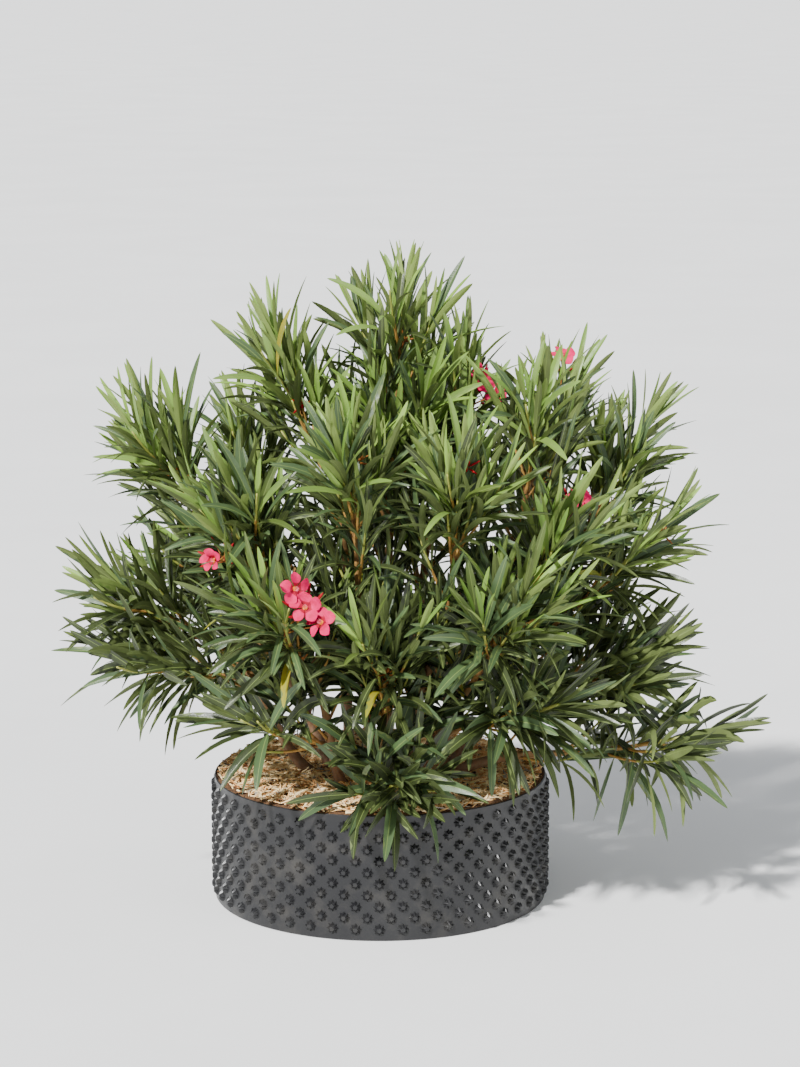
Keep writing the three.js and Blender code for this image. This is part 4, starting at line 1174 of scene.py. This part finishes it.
PETALS = 5
PETAL_STATIONS = np.array([0.0, 0.12, 0.28, 0.46, 0.64, 0.8, 0.92, 1.0])
PETAL_WIDTHS = np.array([0.18, 0.36, 0.64, 0.9, 1.0, 0.86, 0.52, 0.12])
PETAL_HALF_WIDTH = 0.0102
PETAL_THICKNESS = 0.0006
PETAL_SIDES = 6
PETAL_ROOT = 0.003  # radius of the throat's mouth, where a petal starts
PETAL_REACH, OPEN_REACH = 0.35, 0.65  # of a shut petal, and how much more when it is open
PETAL_SPREAD, OPEN_SPREAD = 0.5, 0.5  # and the same for its width
PETAL_DOME, PETAL_DOME_SPAN = 0.004, 0.9  # its height, and its part of half a sine wave
PETAL_CUP, PETAL_CURL = 0.026, 0.002  # rise of a shut petal's tip, and fall of any tip
PETAL_PITCH, PETAL_TROUGH = 0.0035, 0.002  # rise of one edge over the other, and of both edges
PETAL_SKEW = 0.12
PETAL_TURN = 1.3  # radians from one flower's petals to the next one's
# The deeper pink at a petal's base is partly the flower's own colour and partly painted shade at the
# throat.
SHADED_DEEP_PINK_TO = 0.25  # share of a petal that has the deeper colour
THROAT_DEPTH = 0.016
THROAT_SIDES = 10
THROAT_LEVELS = np.array([-1.0, -0.55, -0.15, 0.06])  # as shares of the depth
THROAT_RADII = np.array([0.0013, 0.0017, 0.0035, 0.0042])
FRINGES, FRINGE_PITCH, FRINGE_RING = 10, 28, 0.0025  # how many, their slant and their ring
FRINGE_LENGTH, FRINGE_RADIUS = 0.006, 0.0006
SPINDLE_STATIONS = np.array([0.02, 0.15, 0.38, 0.62, 0.84, 0.985])
SPINDLE_SIDES = 6
STALK_FORK, STALK_RISE = 0.5, 0.008
STALK_RADII, THIN_STALK_RADII = (0.0018, 0.0013), (0.0011, 0.0009)
BUDS, BUD_DROP, BUD_LIFT = 7, 0.034, 0.8  # how many, how far behind the flower, how upright
BUD_PITCHES, BUD_STEP = (24, 66), 52  # their slants, and degrees round from one to the next
BUD_LENGTHS, BUD_RADIUS, BUD_STALK = (0.014, 0.030), 0.0027, 0.024
SPENT = (  # the mass and how far up its stem a spent cluster stands
    ("top_left", 0.35), ("left_top", 0.45), ("centre_left", 0.75), ("top_right", 0.2),
    ("left_front", 0.1), ("front_mid", 0.5), ("centre_right", 0.9), ("right_mid", 0.85),
    ("back_top", 0.9), ("upper_left_back", 0.8), ("back_right", 0.9), ("top_centre", 0.55),
)
SPENT_BITS, SPENT_PITCHES = 9, (10, 75)
SPENT_STEP, SPENT_TURN = 61, 40  # degrees from one bract, and from one cluster, to the next
SPENT_LENGTHS, SPENT_RADIUS = (0.010, 0.024), 0.0018
SPENT_STALK, SPENT_STALK_RADII, SPENT_GAP = 0.026, (0.0016, 0.0012), 0.003
SPENT_ASIDE, SPENT_LIFT = 0.25, 0.9  # how far they lean to +X and along their stem
FRONT_TO = 0.1  # they face -Y where the stem's tip is this side of it, and +Y beyond


def facing_frame(direction):
    """Two directions square to a given one and to each other, from a slanting guide."""
    first = unit(np.cross(direction, np.array([0.31, 0.17, 0.93])))
    return first, np.cross(direction, first)


def petals(centre, direction, openness, turn):
    """The rings of five petals. Each is a thin sheet of points: out from the throat by the
    petal's share, widest at two thirds, tipped like a propeller blade so that each overlaps
    the next. It rises in a dome, and more the less open it is, and curls back by the square of
    the share."""
    first, second = facing_frame(direction)
    angle = angles(PETALS) + turn
    out = first * np.cos(angle)[:, None] + second * np.sin(angle)[:, None]
    side = np.cross(direction, out)
    s, width = PETAL_STATIONS, PETAL_WIDTHS[:, None]
    opened = PETAL_REACH + OPEN_REACH * openness
    reach = PETAL_ROOT + (BLOOM_RADIUS - PETAL_ROOT) * s * opened
    dome = PETAL_DOME * np.sin(np.pi * s * PETAL_DOME_SPAN)
    rise = dome + PETAL_CUP * (1 - openness) * s - PETAL_CURL * s ** 2
    v = np.linspace(-1, 1, PETAL_SIDES)
    v = np.concatenate([v, v[::-1]])
    half = PETAL_HALF_WIDTH * width * (PETAL_SPREAD + OPEN_SPREAD * openness)
    lift = PETAL_PITCH * v * width + PETAL_TROUGH * v ** 2 * width
    under = np.where(np.arange(2 * PETAL_SIDES) < PETAL_SIDES, -0.5, 0.5) * PETAL_THICKNESS
    skew = PETAL_SKEW * v * half
    return (centre + out[:, None, None] * (reach[:, None] + skew)[None, ..., None]
            + side[:, None, None] * (half * v)[None, ..., None]
            + direction * (rise[:, None] + lift + under)[None, ..., None])


def spindles(base, direction, length, radius):
    """The rings of many slender pointed bodies: buds, bracts and the throat's fringe. Each is
    round, and its radius follows the sine of half a turn along it, to the power 0.7."""
    share = SPINDLE_STATIONS
    swell = np.sin(np.pi * share) ** 0.7
    first, second = facing_frame(direction)
    angle = angles(SPINDLE_SIDES)[:, None]
    circle = first[:, None, None] * np.cos(angle) + second[:, None, None] * np.sin(angle)
    centre = base[:, None] + direction[:, None] * (share * length[:, None])[..., None]
    return centre[:, :, None] + circle * (radius * swell)[None, :, None, None]


def throat(centre, direction):
    """The rings of a flower's funnel, from its narrow foot up to where the petals part."""
    first, second = facing_frame(direction)
    angle = angles(THROAT_SIDES)[:, None]
    circle = first * np.cos(angle) + second * np.sin(angle)
    centre = centre + direction * (THROAT_LEVELS * THROAT_DEPTH)[:, None]
    return (centre[:, None] + circle * THROAT_RADII[:, None, None])[None]


def petal_skin(name, light, dark, roughness=0.55):
    """Thin velvety petal, bud or bract: clouded between two near colours, hardly glossy."""
    skin, shader = new_material(name, {"Specular IOR Level": 0.2})
    cloud = mottle(skin, 0.008)
    connect(skin, shader, {
        "Base Color": blend(skin, cloud, dark, light),
        "Roughness": span(skin, cloud, roughness - 0.05, roughness + 0.1),
    })
    relief(skin, shader, mottle(skin, 0.002), depth=0.0004, strength=0.4)
    return skin


flower_skins = [
    petal_skin("rose_pink_petal", "#e40060", "#c40048"),
    # The deep pink petal base is partly painted shade at the throat.
    petal_skin("deep_pink_and_shaded_petal_base", "#b00030", "#8c0024"),
    petal_skin("orange_yellow_throat", "#f09a20", "#d96f1a"),
    petal_skin("pale_pink_fringe", "#ee7a90", "#dd4f6c"),
    petal_skin("dark_red_bud", "#b4081c", "#7c0614"),
    petal_skin("green_red_flower_stalk", "#8c6a2c", "#8a3a24"),
    petal_skin("dry_brown_bract", "#a5672f", "#6d3d20", 0.8),
]
PINK, SHADED_DEEP_PINK, THROAT, FRINGE, BUD, FLOWER_STALK, BRACT = range(7)


def stalk(curve, radii, finish):
    """A bare stalk along a curve, in one finish."""
    return dealt(shoot_rings(curve, radii)[0][None], finish)


flowers, buds = [], []
# Painted shade at the throat: the inner quarter of each petal, and the funnel's middle, take the
# deeper pink.
petal_slots = np.where(PETAL_STATIONS[:-1] < SHADED_DEEP_PINK_TO, SHADED_DEEP_PINK, PINK)
for k, (mass, place, direction, openness) in enumerate(open_blooms):
    fork = along_curve(stems[mass], STALK_FORK)[0]
    foot = place - direction * THROAT_DEPTH
    flowers.append(dealt(petals(place, direction, openness, PETAL_TURN * k), petal_slots))
    flowers.append(dealt(throat(place, direction), [BUD, SHADED_DEEP_PINK, THROAT]))
    ring = leaving(direction, FRINGE_PITCH, np.arange(FRINGES) * (360 // FRINGES))
    size = np.full(FRINGES, FRINGE_LENGTH)
    flowers.append(dealt(spindles(place + ring * FRINGE_RING, ring, size, FRINGE_RADIUS), FRINGE))
    course = [fork, (fork + foot) / 2 + UP * STALK_RISE, foot]
    flowers.append(stalk(course, STALK_RADII, FLOWER_STALK))
    if k and mass == open_blooms[k - 1][0]:
        continue
    knot = place - direction * BUD_DROP
    pitches = random.uniform(*BUD_PITCHES, BUDS)
    way = leaving(unit(direction + UP * BUD_LIFT), pitches, np.arange(BUDS) * BUD_STEP)
    size = random.uniform(*BUD_LENGTHS, BUDS)
    buds.append(stalk([fork, (fork + knot) / 2, knot], STALK_RADII, FLOWER_STALK))
    for course, length in zip(way, size):
        foot = knot + course * BUD_STALK
        middle = knot + course * (BUD_STALK / 2)
        buds.append(stalk([knot, middle, foot], THIN_STALK_RADII, FLOWER_STALK))
        body = spindles(foot[None], course[None], np.array([length]), BUD_RADIUS)
        buds.append(dealt(body, BUD))

for order, (mass, share) in enumerate(SPENT):
    fork, axis = along_curve(stems[mass], share)[0], tangents(stems[mass], share)[0]
    front = -1.0 if stems[mass][2][1] < FRONT_TO else 1.0
    side = unit(np.array([SPENT_ASIDE, front, 0.0]) + axis * SPENT_LIFT)
    knot = fork + side * SPENT_STALK
    turns = np.arange(SPENT_BITS) * SPENT_STEP + SPENT_TURN * order
    way = leaving(side, random.uniform(*SPENT_PITCHES, SPENT_BITS), turns)
    size = random.uniform(*SPENT_LENGTHS, SPENT_BITS)
    buds.append(stalk([fork, (fork + knot) / 2, knot], SPENT_STALK_RADII, BRACT))
    body = spindles(knot + way * SPENT_GAP, way, size, SPENT_RADIUS)
    buds.append(dealt(body, BRACT if order % 3 else BUD))

for name, parts in (("open_flowers", flowers), ("buds_and_bracts", buds)):
    points, faces, slots = join_lofts(parts)
    make_piece(name, points, faces, flower_skins, slots, sharp=60)


# ---- Floor and light --------------------------------------------------------------------------
# A plain pale floor that runs to the horizon, under studio light: a soft-edged sun from above
# the front left for the key, a large box to the right of the camera to fill, and an even pale
# glow from all round.

FLOOR_REACH = 400.0
FLOOR_DROP = 0.0006  # below the pot's underside
FLOOR_SIDES = 96
SUN_DIRECTION = (0.40, 0.62, -0.68)
SUN_STRENGTH = 8.0
SUN_WIDTH = 4.0  # in degrees
FILL_LIGHT, FILL_WIDTH, FILL_POWER = (3.6, -3.0, 2.2), 2.4, 60.0
FILL_AIM = (0.0, 0.0, 0.55)
WORLD_COLOUR, WORLD_STRENGTH = "#eef3fa", 0.55

# Matt white paper, with clouds so faint that it looks plain.
paper, shader = new_material("matt_white_studio_floor", {"Roughness": 0.9})
connect(paper, shader, {"Base Color": blend(paper, mottle(paper, 0.8), "#f1f1f0", "#f6f6f5")})
angle = angles(FLOOR_SIDES)
edge = np.stack([np.cos(angle), np.sin(angle), np.zeros(FLOOR_SIDES)], axis=-1) * FLOOR_REACH
mesh = bpy.data.meshes.new("floor")
mesh.from_pydata((edge - UP * FLOOR_DROP).tolist(), [], [list(range(FLOOR_SIDES))])
mesh.materials.append(paper)
floor = bpy.data.objects.new("floor", mesh)
bpy.context.collection.objects.link(floor)


def light(name, kind, direction, power):
    """A lamp whose own -Z axis is turned to a direction: tipped by the angle between straight
    down and the direction, and then turned round Z to the direction's bearing."""
    x, y, z = direction
    lamp = bpy.data.objects.new(name, bpy.data.lights.new(name, kind))
    lamp.data.energy = power
    lamp.rotation_euler = (math.atan2(math.hypot(x, y), -z), 0, math.atan2(-x, y))
    bpy.context.collection.objects.link(lamp)
    return lamp


sun = light("key", "SUN", SUN_DIRECTION, SUN_STRENGTH)
sun.data.angle = math.radians(SUN_WIDTH)
fill = light("fill", "AREA", np.array(FILL_AIM) - np.array(FILL_LIGHT), FILL_POWER)
fill.data.size = FILL_WIDTH
fill.location = FILL_LIGHT

world = bpy.data.worlds.new("studio")
world.use_nodes = True
background = world.node_tree.nodes["Background"]
background.inputs["Color"].default_value = linear(WORLD_COLOUR)
background.inputs["Strength"].default_value = WORLD_STRENGTH
bpy.context.scene.world = world
